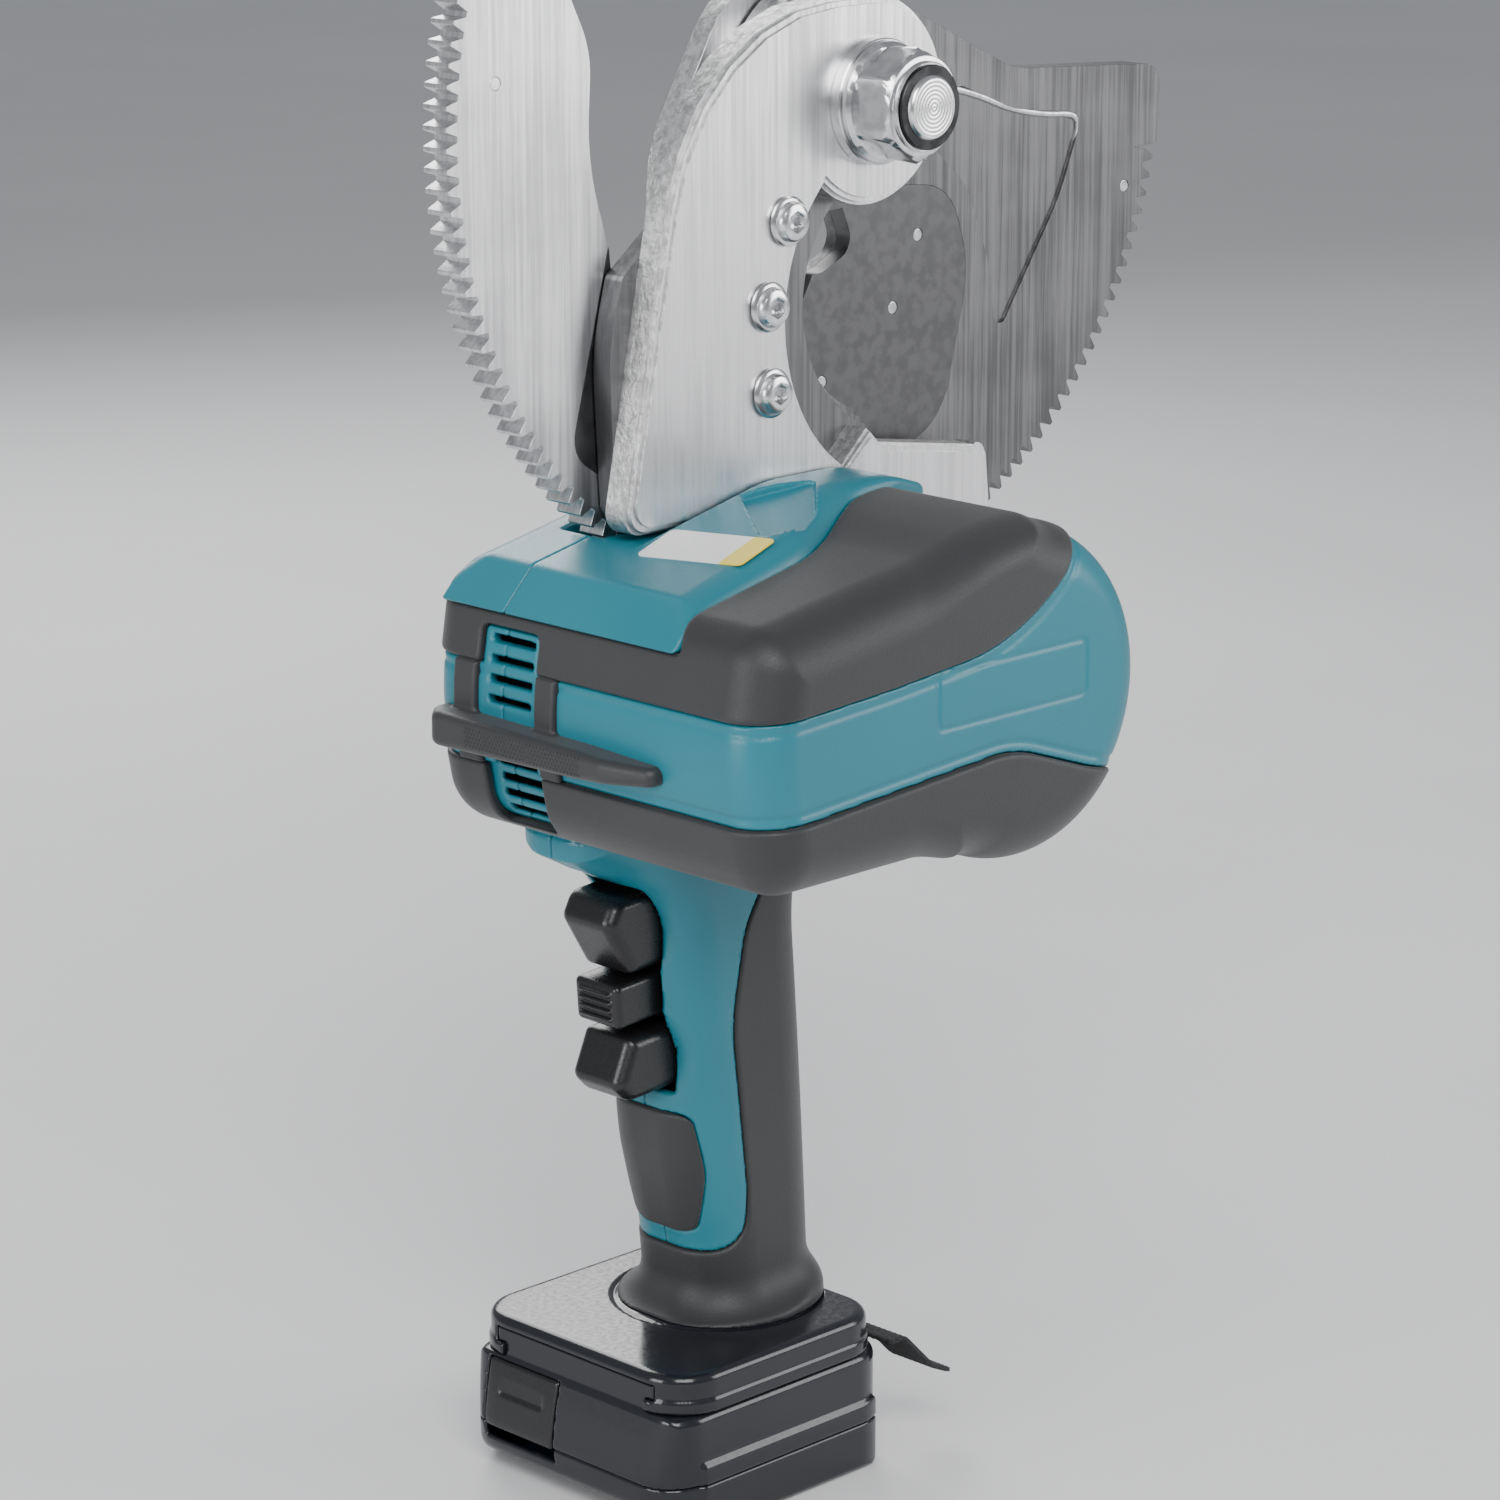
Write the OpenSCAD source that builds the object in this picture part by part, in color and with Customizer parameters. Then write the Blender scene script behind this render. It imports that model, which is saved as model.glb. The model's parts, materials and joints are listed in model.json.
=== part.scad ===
// Battery cable cutter: a toothed hook blade swings beside a fixed blade, driven by a small
// pinion through one planetary stage. It stands on its battery.
// Origin: centre of the battery's bottom face. +X to the back, -Y to the nut side, +Z up.

/* [Battery and foot] */
// Battery length, front to back
battery_l = 72; // [69:1:86]
// Battery width
battery_w = 75; // [70:1:90]
// Battery height below the foot
battery_h = 30; // [26:1:40]
// Height of the foot shell
foot_h = 10; // [9:1:13]
// Corner radius of the foot seen from above
foot_corner = 13; // [8:1:16]

/* [Handle] */
// Height from the foot to the underside of the body
handle_h = 125; // [115:1:150]
// Half depth of the handle, front to back
handle_hx = 21.5; // [20:0.5:27.5]
// Half width of the handle
handle_hy = 18.5; // [18.5:0.5:24.5]
// Lean of the handle towards the front, in degrees
handle_lean = 4.3; // [3:0.1:5.5]
// Travel of each trigger
trigger_travel = 5; // [3:0.5:5.5]
// Travel of the lock button
lock_travel = 2.5; // [1.5:0.5:3]
// Travel of the battery latch
latch_travel = 3; // [2:0.5:3.5]

/* [Body] */
// Distance from the parting plane to the nut side of the body
body_near = 86; // [84:1:104]
// Distance from the parting plane to the far side of the body
body_far = 29; // [26:1:36]
// Distance from the battery centre to the front of the body
body_front = 56; // [50:1:68]
// Radius of the round back of the body
body_r = 40.5; // [40:0.5:44]
// Wall of the moulded housing
wall = 2.6; // [2:0.1:3]
// Thickness of the rubber bands
band_t = 1.4; // [1:0.1:1.8]

/* [Cutting head] */
// Distance from the drive axis forward to the pivot, along X
pivot_offset = 16; // [13:1:18]
// Gear module of the sector gear and pinion
sector_module = 1.5; // [1.5:0.05:1.52]
// Teeth of the full circle that the sector gear is cut from
sector_teeth = 162; // [162:1:164]
// Pinion teeth
pinion_teeth = 14; // [13:1:14]
// Sector gear thickness
sector_t = 8; // [6.5:0.5:8]
// Near frame plate thickness
plate_near_t = 8.5; // [7:0.5:10]
// Far frame plate thickness
plate_far_t = 6; // [5:0.5:8]
// Fixed blade thickness
blade_t = 5.7; // [4.5:0.1:7]
// Radius of the jaw opening in the frame plates
jaw_r = 45; // [40:1:46]
// Radius of the hook's cutting edge
hook_r = 35.3; // [33:0.5:36]
// Pivot bolt radius
bolt_r = 8; // [7:0.5:9]
// Nut size across flats
nut_af = 24; // [22:1:26]

/* [Gearbox and motor] */
// Gear module of the planetary stage
planet_module = 1; // [0.95:0.05:1]
// Outer radius of the gear case
case_r = 36; // [35:0.5:36.5]
// Radius of the motor can
motor_r = 26; // [22:1:29]
// Length of the motor can
motor_l = 35; // [30:1:36]

/* [Hidden] */
$fn = 64;

// Fits and gaps
slip = 0.05;     // radial running clearance of shafts
gap = 0.3;       // gap between parts on different bodies
fit = 0.2;       // gap between parts of one body
skin = 0.12;     // gap under a moulded rubber part

// Heights and axes that follow from the sizes above
foot_z = battery_h;
foot_top = foot_z + foot_h;
body_low = foot_top + handle_h;
drive_x = 35;
drive_z = body_low + body_r - 0.5;
pitch_r = sector_module * sector_teeth / 2;
pinion_pitch_r = sector_module * pinion_teeth / 2;
centre_distance = pitch_r + pinion_pitch_r + 0.08;
pivot_x = drive_x + pivot_offset;
pivot_z = drive_z + sqrt(pow(centre_distance, 2) - pow(pivot_offset, 2));
mesh_angle = atan2(drive_z - pivot_z, drive_x - pivot_x);
tooth_step = 360 / sector_teeth;
sweep_r = pitch_r + sector_module + 1.5;

// Layers along Y, from the far side to the near side
sector_far = sector_t - 0.5;
sector_near = -0.5;
plate_far_near = sector_far + 0.8;
plate_far_far = plate_far_near + plate_far_t;
blade_far = sector_near - gap;
blade_near = blade_far - blade_t;
plate_near_far = blade_near;
plate_near_near = plate_near_far - plate_near_t;
washer_near = plate_near_near - 3;
nut_near = washer_near - 13;

// Gearbox layers
case_near = plate_near_near - 32;
ring_gear_near = case_near + 9.5;
planet_near = ring_gear_near + 1;
planet_t = 9;
carrier_near = planet_near + planet_t + 0.7;
carrier_t = 5.5;
motor_plate_near = case_near + 4;
motor_near = motor_plate_near - motor_l;
sun_teeth = 18;
planet_teeth = 18;
ring_teeth = sun_teeth + 2 * planet_teeth;
carrier_r = planet_module * (sun_teeth + planet_teeth) / 2;
ring_out_r = planet_module * ring_teeth / 2 + 4;
shaft_r = 4;
planet_pin_r = 2.5;
near_bearing_r = 13;
far_bearing_r = 11;
journal_r = 6.5;

// Body heights
front_top = drive_z + 26;
front_low = drive_z - 34;
cover_top = drive_z + body_r + 4;

// Colours
teal = [0.16, 0.51, 0.59];
charcoal = [0.25, 0.25, 0.27];
black = [0.07, 0.07, 0.09];
steel = [0.74, 0.74, 0.75];
dark_steel = [0.42, 0.42, 0.43];

// ---- Outlines ------------------------------------------------------------------------------

function unit(v) = v / norm(v);

// Points of the arc that rounds corner q between p and s with radius r
function corner_arc(p, q, s, r, n) =
    let (u = unit([p.x - q.x, p.y - q.y]),
         v = unit([s.x - q.x, s.y - q.y]),
         half = acos(u * v) / 2,
         centre = [q.x, q.y] + unit(u + v) * r / sin(half),
         from = [q.x, q.y] + u * r / tan(half) - centre,
         to = [q.x, q.y] + v * r / tan(half) - centre,
         start = atan2(from.y, from.x),
         turn = (atan2(to.y, to.x) - start + 540) % 360 - 180)
    [for (i = [0:n]) centre + r * [cos(start + turn * i / n), sin(start + turn * i / n)]];

// Outline through corners [x, z, radius]; a radius of 0 keeps the corner sharp
function rounded(corners, n = 6) =
    let (m = len(corners))
    [for (i = [0:m - 1]) each corners[i][2] <= 0
        ? [[corners[i].x, corners[i].y]]
        : corner_arc(corners[(i + m - 1) % m], corners[i], corners[(i + 1) % m], corners[i][2], n)];

// Involute gear outline with its first tooth on the X axis; thin is taken off each tooth
function involute(a) = tan(a) * 180 / PI - a;
function half_tooth(m, z, r, thin) =
    let (rp = m * z / 2, rb = rp * cos(20))
    90 / z - thin * 90 / PI / rp + involute(20) - (r > rb ? involute(acos(rb / r)) : 0);
function gear_outline(m, z, thin, add, ded, teeth) =
    let (rp = m * z / 2, steps = [rp - ded, rp, rp + add])
    [for (k = teeth) each concat(
        [for (r = steps) let (a = 360 * k / z - half_tooth(m, z, r, thin)) r * [cos(a), sin(a)]],
        [for (i = [2:-1:0]) let (r = steps[i], a = 360 * k / z + half_tooth(m, z, r, thin))
            r * [cos(a), sin(a)]])];

// Plate of a 2D shape drawn in X and Z, from Y = near to Y = far
module slab(near, far) {
    translate([0, far, 0]) rotate([90, 0, 0]) linear_extrude(far - near) children();
}
module rod(r, near, far) {
    slab(near, far) circle(r);
}
module tube(outer, inner, near, far) {
    slab(near, far) difference() {
        circle(outer);
        circle(inner);
    }
}
module hexagon(flats) {
    circle(flats / 2 / cos(30), $fn = 6);
}
module at_pivot() {
    translate([pivot_x, 0, pivot_z]) children();
}
module at_drive() {
    translate([drive_x, 0, drive_z]) children();
}
// Box between two opposite corners
module box(low, high) {
    translate(low) cube(high - low);
}
// Rounded rectangle in X and Y
module round_rect(x0, x1, y0, y1, r) {
    polygon(rounded([[x0, y0, r], [x1, y0, r], [x1, y1, r], [x0, y1, r]]));
}
// The same with a radius for the front and one for the back corners
module plan_rect(x0, x1, y0, y1, front, back) {
    polygon(rounded([[x0, y0, front], [x1, y0, back], [x1, y1, back], [x0, y1, front]]));
}
// Drive axis seen from the pivot
drive_dx = drive_x - pivot_x;
drive_dz = drive_z - pivot_z;

// ---- Cutting head --------------------------------------------------------------------------

blade_screw_places = [[-29.5, -25.7], [-36, -45.3], [-35, -66]];
spacer_angles = [180, 0, 220, 320];
spacer_r = 5;
spacer_ring = 28.5;
jaw_centre = [16.4, -50];
hook_centre = [-38, -28];
edge_centre = [18, -49];
edge_r = 30.4;

module jaw_cut(extra) {
    translate(jaw_centre) circle(jaw_r + extra);
    translate(jaw_centre + [0, -32 + 3.6 - extra]) square([120, 61 + 2 * extra]);
}
// Outline of the near plate; inset draws the face inside the chamfer
module near_plate_outline(inset) {
    difference() {
        union() {
            polygon(rounded([[-82 + inset, -94.5 + inset, 5], [-58.4 + inset, 25 - inset, 54],
                [0, 25 - inset, 0], [20, -10, 0], [0, -70, 0], [4, -83.5 - inset, 4],
                [42.5 - inset, -89 - inset, 3], [44.3 - inset, -108 + inset, 4],
                [18, -108 + inset, 4], [18, drive_dz, 0], [-52, drive_dz, 0], [-52, -94.5 + inset, 0]]));
            circle(25 - inset);
            translate([drive_dx, drive_dz]) circle(case_r - 2);
        }
        difference() {
            translate(jaw_centre) circle(jaw_r + inset);
            circle(25 - inset);
            polygon([[-22, -100], [0, -79.5 - inset], [4, -83.5 - inset], [90, -97], [90, -130],
                [-22, -130]]);
        }
        translate([25 - inset, -8]) square([90, 60]);
        difference() {
            translate([12, -78]) square([70, 70]);
            circle(25 - inset);
        }
    }
}
module plate_bores(near, far, bearing_r) {
    rod(bolt_r + fit / 2, near - 1, far + 1);
    translate([drive_dx, 0, drive_dz]) {
        rod(bearing_r, near - 1, far + 1);
        for (a = spacer_angles)
            translate([spacer_ring * cos(a), 0, spacer_ring * sin(a)]) rod(3, near - 1, far + 1);
    }
}
module frame_plate_near() {
    color(steel) at_pivot() difference() {
        union() {
            slab(plate_near_near, plate_near_far) near_plate_outline(2);
            slab(plate_near_near + 2, plate_near_far) near_plate_outline(0);
            slab(plate_near_near + 0.7, plate_near_far) near_plate_outline(0.8);
        }
        plate_bores(plate_near_near, plate_near_far, near_bearing_r);
        for (p = blade_screw_places)
            translate([p.x, 0, p.y]) rod(3.1, plate_near_near - 1, plate_near_far + 1);
        translate([drive_dx, 0, drive_dz]) for (a = [45:90:315])
            translate([23 * cos(a), 0, 23 * sin(a)]) rod(2.1, plate_near_near - 1, plate_near_far + 1);
    }
}
module frame_plate_far() {
    color(steel) at_pivot() difference() {
        union() {
            slab(plate_far_near, plate_far_far) polygon(rounded([[-50, -96, 6], [-47, -10, 30],
                [-25, 28, 25],
                [0, 30, 0], [20, -12, 0], [-10, -78, 0], [34, -92, 4], [34, -104, 4], [17, -108, 4],
                [17, drive_dz, 0], [-51, drive_dz, 0], [-51, -100, 0]]));
            rod(31, plate_far_near, plate_far_far);
            translate([drive_dx, 0, drive_dz]) rod(case_r - 2, plate_far_near, plate_far_far);
        }
        slab(plate_far_near - 1, plate_far_far + 1) difference() {
            translate(jaw_centre) circle(jaw_r + 0.5);
            circle(31);
            polygon([[-22, -101], [0, -83], [90, -98], [90, -130], [-22, -130]]);
        }
        plate_bores(plate_far_near, plate_far_far, far_bearing_r);
    }
}
// The fixed blade has a ground bevel along its round cutting edge
module fixed_blade_outline(edge) {
    difference() {
        polygon(rounded([[-77, -93, 4], [-79.5, -52, 60], [-75, -35, 3], [-48, -14, 20],
            [-24, -16, 10], [-2, -26, 2], [12, -50, 0], [6, -86, 2]]));
        translate(edge_centre) circle(edge);
    }
}
module fixed_blade() {
    color(dark_steel) at_pivot() difference() {
        union() {
            slab(blade_near, blade_far) fixed_blade_outline(edge_r + 3);
            slab(blade_near + blade_t * 0.4, blade_far) fixed_blade_outline(edge_r + 1.5);
            slab(blade_far - 1.2, blade_far) fixed_blade_outline(edge_r);
        }
        rod(22, blade_near - 1, blade_far + 1);
        for (p = blade_screw_places)
            translate([p.x, 0, p.y]) rod(2.6, blade_near - 1, blade_far + 1);
    }
}
module blade_screws() {
    color(steel) at_pivot() for (p = blade_screw_places) translate([p.x, 0, p.y]) difference() {
        union() {
            rod(2.6, plate_near_near, blade_far - 1);
            rod(6, plate_near_near - 1, plate_near_near);
            rod(4.8, plate_near_near - 3.6, plate_near_near - 1);
        }
        slab(plate_near_near - 4, plate_near_near - 1.6) hexagon(4);
    }
}
module frame_spacers() {
    color(steel) at_drive() for (a = spacer_angles)
        translate([spacer_ring * cos(a), 0, spacer_ring * sin(a)])
            tube(spacer_r, 3, plate_near_far, plate_far_near);
}
module frame_bolts() {
    color(steel) at_drive() for (a = spacer_angles)
        translate([spacer_ring * cos(a), 0, spacer_ring * sin(a)]) {
            rod(3, plate_near_near + 1, plate_far_far);
            slab(plate_far_far, plate_far_far + 4) hexagon(10);
        }
}

// ---- Swinging blade ------------------------------------------------------------------------

// The stretch of teeth runs from just below the right end round to the tip of the hook
first_tooth = 38;
last_tooth = -47;
module sector_blank() {
    polygon(concat(
        gear_outline(sector_module, sector_teeth, 0.22, sector_module, 1.25 * sector_module,
            [last_tooth:first_tooth]),
        [[0, 0]]));
}
module sector_solid(near, far) {
    tip = pitch_r + sector_module;
    difference() {
        intersection() {
            union() {
                slab(near, far) rotate(mesh_angle) sector_blank();
                slab(near, far) polygon(rounded([[66, 0.8, 30], [tip - 0.6, -2.6, 6],
                    [tip - 1.6, -23, 0], [0, -30, 0], [0, 29, 0], [14, 25, 0]]));
            }
            slab(near - 1, far + 1) polygon(rounded([[66, 0.8, 30], [tip - 0.6, -2.6, 6],
                [tip - 1.6, -23, 0],
                [tip + 40, -26, 0], [tip, -200, 0], [-tip, -200, 0], [-tip - 40, 49, 0],
                [-113, 54, 13], [-94, 48, 14], [-78.5, 17, 24], [-80, -8, 60], [-70, -40, 0],
                [-38, -20, 0], [-6, -44.5, 10], [8.6, -37.6, 5], [4, -27, 0], [-14, -20, 0],
                [-28, 0, 0], [-14, 25, 0], [14, 25, 0]]));
        }
        translate([hook_centre.x, 0, hook_centre.y]) rod(hook_r, near - 2, far + 2);
    }
    rod(28, near, far);
}
module movable_blade_solid(near, far, clear) {
    difference() {
        intersection() {
            slab(near, far) polygon(rounded([[13, -23 + clear, 0], [43, -26 + clear, 14],
                [50 + clear, -47, 30], [41 + clear, -84, 18], [4, -100 - clear, 50],
                [-50, -100 - clear, 50], [-86 - clear, -76, 8], [-72 - clear, -22, 0], [-40, -10, 0]]));
            sector_solid(near - 1, far + 1);
        }
        rod(24.6, near - 2, far + 2);
    }
}
module fin_outline() {
    polygon(rounded([[31, -11, 3], [46, -1.5, 4], [66, -9.5, 30], [92.5, -12.5, 4], [84, -33, 60],
        [60.5, -67, 2.5], [57.5, -47, 30], [49, -27, 16]]));
}
module sector_gear() {
    color(steel) at_pivot() difference() {
        sector_solid(sector_near, sector_far);
        movable_blade_solid(sector_near - 1, sector_near + sector_t * 0.6, 0);
        difference() {
            slab(sector_near - 1, sector_near + 1) fin_outline();
            movable_blade_solid(sector_near - 2, sector_near + 2, 0.5);
            rod(25, sector_near - 2, sector_near + 2);
        }
        rod(11, sector_near - 1, sector_far + 1);
        for (p = stop_pin_places)
            translate([p.x, 0, p.y]) rod(1.6, sector_near - 1, sector_far + 1);
        for (p = blade_pin_places)
            translate([p.x, 0, p.y]) rod(1.6, sector_near - 1, sector_far + 1);
    }
}
module movable_blade() {
    color(dark_steel) at_pivot() difference() {
        movable_blade_solid(sector_near, sector_near + sector_t * 0.6, 0);
        for (p = blade_pin_places)
            translate([p.x, 0, p.y]) rod(1.6, sector_near - 1, sector_far);
    }
}
blade_pin_places = [[31.3, -37.2], [22.5, -54.3], [-2.5, -69.7], [-32, -79], [-62, -72]];
stop_pin_places = [[-108, 12], [109, -33]];
module blade_pins() {
    color(steel) at_pivot() for (p = blade_pin_places)
        translate([p.x, 0, p.y]) rod(1.6, sector_near + 0.1, sector_far - 0.1);
}
module stop_pins() {
    color(steel) at_pivot() for (p = stop_pin_places)
        translate([p.x, 0, p.y]) rod(1.6, sector_near + 0.1, sector_far - 0.1);
}
module pivot_bush() {
    color("peru") at_pivot() tube(11, bolt_r + slip, sector_near, sector_far);
}
module pivot_bolt() {
    color(steel) at_pivot() {
        rod(bolt_r, nut_near - 2.6, plate_far_far + 1);
        rod(bolt_r - 1, nut_near - 3.6, nut_near - 2.6);
        rod(15, plate_far_far, plate_far_far + 1.5);
        slab(plate_far_far + 1.5, plate_far_far + 11) hexagon(nut_af);
    }
}
module pivot_collar() {
    color(steel) at_pivot() tube(20, bolt_r + slip, blade_near, blade_far);
}
module pivot_washer() {
    color(steel) at_pivot() tube(15, bolt_r + slip, washer_near, plate_near_near);
}
module pivot_nut() {
    color(steel) at_pivot() difference() {
        union() {
            slab(nut_near, washer_near - 1.2) hexagon(nut_af);
            rod(14.2, washer_near - 1.2, washer_near);
            rod(11.6, nut_near - 1.6, nut_near);
        }
        rod(bolt_r, nut_near - 3, washer_near + 1);
    }
}
module retaining_ring() {
    color(black) at_pivot() tube(10, bolt_r, nut_near - 2.4, nut_near - 1.6);
}

// ---- Drive ---------------------------------------------------------------------------------

module drive_pinion() {
    color(steel) at_drive() {
        rotate([0, -(mesh_angle + 180 + 180 / pinion_teeth), 0])
            slab(sector_near + 0.2, sector_far - 0.2)
                polygon(gear_outline(sector_module, pinion_teeth, 0.22, sector_module,
                    1.25 * sector_module, [0:pinion_teeth - 1]));
        rod(journal_r, carrier_near, plate_far_far + 1.5);
    }
}
module pinion_bearings() {
    color(steel) at_drive() {
        tube(near_bearing_r, journal_r + slip, plate_near_near, plate_near_far);
        tube(far_bearing_r, journal_r + slip, plate_far_near, plate_far_far);
    }
}
module gear_case() {
    color("dimgray") at_drive() difference() {
        rod(case_r, case_near, plate_near_near);
        rod(ring_out_r + fit, case_near - 1, plate_near_near - 4);
        rod(near_bearing_r - 1, case_near, plate_near_near + 1);
        for (a = [45:90:315])
            translate([23 * cos(a), 0, 23 * sin(a)]) rod(2.1, plate_near_near - 6, plate_near_near + 1);
    }
}
module gear_case_screws() {
    color(steel) at_drive() for (a = [45:90:315])
        translate([23 * cos(a), 0, 23 * sin(a)]) {
            rod(2, plate_near_near - 4, plate_near_near + 6);
            rod(3.2, plate_near_near - 5.4, plate_near_near - 4);
        }
}
module ring_gear() {
    color("silver") at_drive() slab(ring_gear_near, planet_near + planet_t + 0.5) difference() {
        circle(ring_out_r);
        rotate(180 / ring_teeth) polygon(gear_outline(planet_module, ring_teeth, -0.22,
            1.3 * planet_module, planet_module, [0:ring_teeth - 1]));
    }
}
module planet_carrier() {
    color("silver") at_drive() {
        difference() {
            tube(carrier_r + 6, journal_r, carrier_near, carrier_near + carrier_t);
            for (i = [0:2]) rotate([0, -120 * i, 0]) translate([carrier_r, 0, 0])
                rod(planet_pin_r, carrier_near - 1, carrier_near + carrier_t + 1);
        }
    }
}
module planet_pins() {
    color(steel) at_drive() for (i = [0:2]) rotate([0, -120 * i, 0]) translate([carrier_r, 0, 0])
        rod(planet_pin_r, planet_near - 0.5, carrier_near + carrier_t - 0.5);
}
// A planet has a gap towards the sun and one towards the ring
module planet_gear(i) {
    color("silver") at_drive() rotate([0, -120 * i, 0]) translate([carrier_r, 0, 0])
        slab(planet_near, planet_near + planet_t) difference() {
            rotate(180 / planet_teeth) polygon(gear_outline(planet_module, planet_teeth, 0.22,
                planet_module, 1.25 * planet_module, [0:planet_teeth - 1]));
            circle(planet_pin_r + slip);
        }
}
module planet_gear_1() { planet_gear(0); }
module planet_gear_2() { planet_gear(1); }
module planet_gear_3() { planet_gear(2); }
module motor_plate() {
    color("dimgray") at_drive() tube(ring_out_r, 8, motor_plate_near, ring_gear_near - fit);
}
module motor_shaft() {
    color(steel) at_drive() {
        slab(planet_near, planet_near + planet_t) polygon(gear_outline(planet_module, sun_teeth,
            0.22, planet_module, 1.25 * planet_module, [0:sun_teeth - 1]));
        rod(shaft_r, motor_near - 3.5, planet_near);
    }
}
module motor_rotor() {
    color("gray") at_drive() tube(14, shaft_r, motor_near + 5, motor_plate_near - 4);
}
module motor_stator() {
    color("peru") at_drive() slab(motor_near + 6, motor_plate_near - 5) difference() {
        circle(motor_r - 1.6);
        circle(14.5);
        for (a = [0:60:300]) rotate(a) translate([17, -2]) square([5, 4]);
    }
}
module motor_can() {
    color(dark_steel) at_drive() tube(motor_r, motor_r - 1.6, motor_near, motor_plate_near);
}
module motor_end_bell() {
    color(black) at_drive() tube(motor_r - 1.6, 8, motor_near, motor_near + 4);
}
module motor_bearings() {
    color(steel) at_drive() {
        tube(8, shaft_r + slip, motor_near, motor_near + 4);
        tube(8, shaft_r + slip, motor_plate_near, motor_plate_near + 4);
    }
}
module cooling_fan() {
    color(black) at_drive() {
        tube(7, shaft_r, motor_near - 3.4, motor_near - 0.5);
        for (a = [0:40:320]) rotate([0, a, 0]) translate([6.5, 0, -0.6])
            box([0, motor_near - 3.4, 0], [15, motor_near - 0.5, 1.2]);
    }
}

// ---- Body ----------------------------------------------------------------------------------

// The body is a tapered box in front of a round back
module body_solid(inset) {
    intersection() {
        union() {
            at_drive() rod(body_r - inset, -body_near + inset, body_far - inset);
            slab(-body_near + inset, body_far - inset) polygon(rounded([
                [-body_front + 5 + inset, front_low + inset, 12],
                [-body_front - 1.5 + inset, drive_z - 2, 60],
                [-body_front + 8 + inset, front_top - inset, 12],
                [drive_x - 12, drive_z + body_r - inset - 2, 0],
                [drive_x, drive_z, 0], [drive_x - 24, front_low + inset, 0]], 8));
        }
        translate([0, 0, body_low - 10]) linear_extrude(120)
            plan_rect(-body_front - 3 + inset, drive_x + body_r + 1 - inset, -body_near + inset,
                body_far - inset, 18 - inset, 9);
        translate([-100, 0, 0]) rotate([90, 0, 90]) linear_extrude(220)
            polygon(rounded([[-body_near + inset, body_low - 1 + inset, 12],
                [body_far - inset, body_low - 1 + inset, 12],
                [body_far - inset, drive_z + body_r + 1 - inset, 14],
                [-body_near + inset, drive_z + body_r + 1 - inset, 14]]));
    }
}
// Edges of the rubber bands in side view
module upper_band_side() {
    polygon(rounded([[-80, drive_z + 7, 0], [-15, drive_z + 11, 60], [28, drive_z + 15, 60],
        [60, drive_z + 44, 0], [60, drive_z + 60, 0], [-80, drive_z + 60, 0]]));
}
module lower_band_side() {
    polygon(rounded([[-80, drive_z - 17.5, 0], [-40, drive_z - 15.5, 40], [26, drive_z - 11, 40],
        [52, drive_z - 20, 30], [90, drive_z - 30, 0], [90, 0, 0], [-80, 0, 0]]));
}
// Plan of the teal top cover
module cover_plan(grow) {
    polygon(rounded([[-body_front - 8 - grow, -56 - grow, 0], [-8, -50 - grow, 30], [26, -33 - grow, 20],
        [drive_x + 28, -30 - grow, 6], [drive_x + 28, 22 + grow, 6],
        [-body_front - 8 - grow, 22 + grow, 0]]));
}
module cover_zone(grow) {
    intersection() {
        translate([0, 0, drive_z]) linear_extrude(80) cover_plan(grow);
        slab(-body_near, body_far) polygon([[-body_front + 4, drive_z + 18 - grow],
            [120, drive_z + 18 - grow],
            [120, drive_z + 90], [-body_front + 4, drive_z + 90]]);
    }
}
// Space that the swinging blade and the frame plates need
module head_space() {
    translate([pivot_x, 0, pivot_z]) {
        rod(sweep_r, sector_near - 3, sector_far + 3);
        slab(blade_near - 1, sector_near) translate([-84, -96]) square([128, 30]);
        slab(blade_near - 1, sector_near) translate([-52, drive_dz]) square([66, 60]);
    }
    at_pivot() {
        slab(plate_near_near - 0.6, plate_near_far + 0.6) {
            near_plate_outline(-0.6);
            translate([-83, -96]) square([128, 30]);
        }
        slab(plate_far_near - 0.6, plate_far_far + 0.6) {
            translate([drive_dx, drive_dz]) circle(case_r - 1);
            translate([-52, drive_dz]) square([87, 80]);
        }
        slab(plate_far_far, plate_far_far + 5) translate([drive_dx, drive_dz]) circle(case_r - 1);
    }
    at_drive() {
        rod(case_r + 0.6, case_near - 1, plate_near_far);
        rod(case_r - 1, plate_near_far, plate_far_far + 5);
    }
}
module vents(z0, z1, count) {
    pitch = (z1 - z0) / count;
    for (i = [0:count - 1]) box([-body_front - 8, -9, z0 + pitch * (i + 0.3)],
        [-body_front + 14, 6, z0 + pitch * (i + 0.72)]);
}
module motor_cradle() {
    at_drive() for (y = [motor_near + 3, motor_plate_near - 6]) intersection() {
        tube(body_r - band_t - wall + 0.5, motor_r, y, y + 3);
        slab(y - 1, y + 4) square([150, 150], center = true);
    }
}
module housing_body(side) {
    difference() {
        union() {
            difference() {
                body_solid(band_t);
                body_solid(band_t + wall);
            }
            if (side < 0) motor_cradle();
        }
        head_space();
        cover_zone(0);
        vents(drive_z - 3, drive_z + 16, 4);
        vents(drive_z - 30, drive_z - 15, 3);
        if (side > 0) screw_bores();
        handle_solid(-wall, -30);
    }
}
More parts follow.
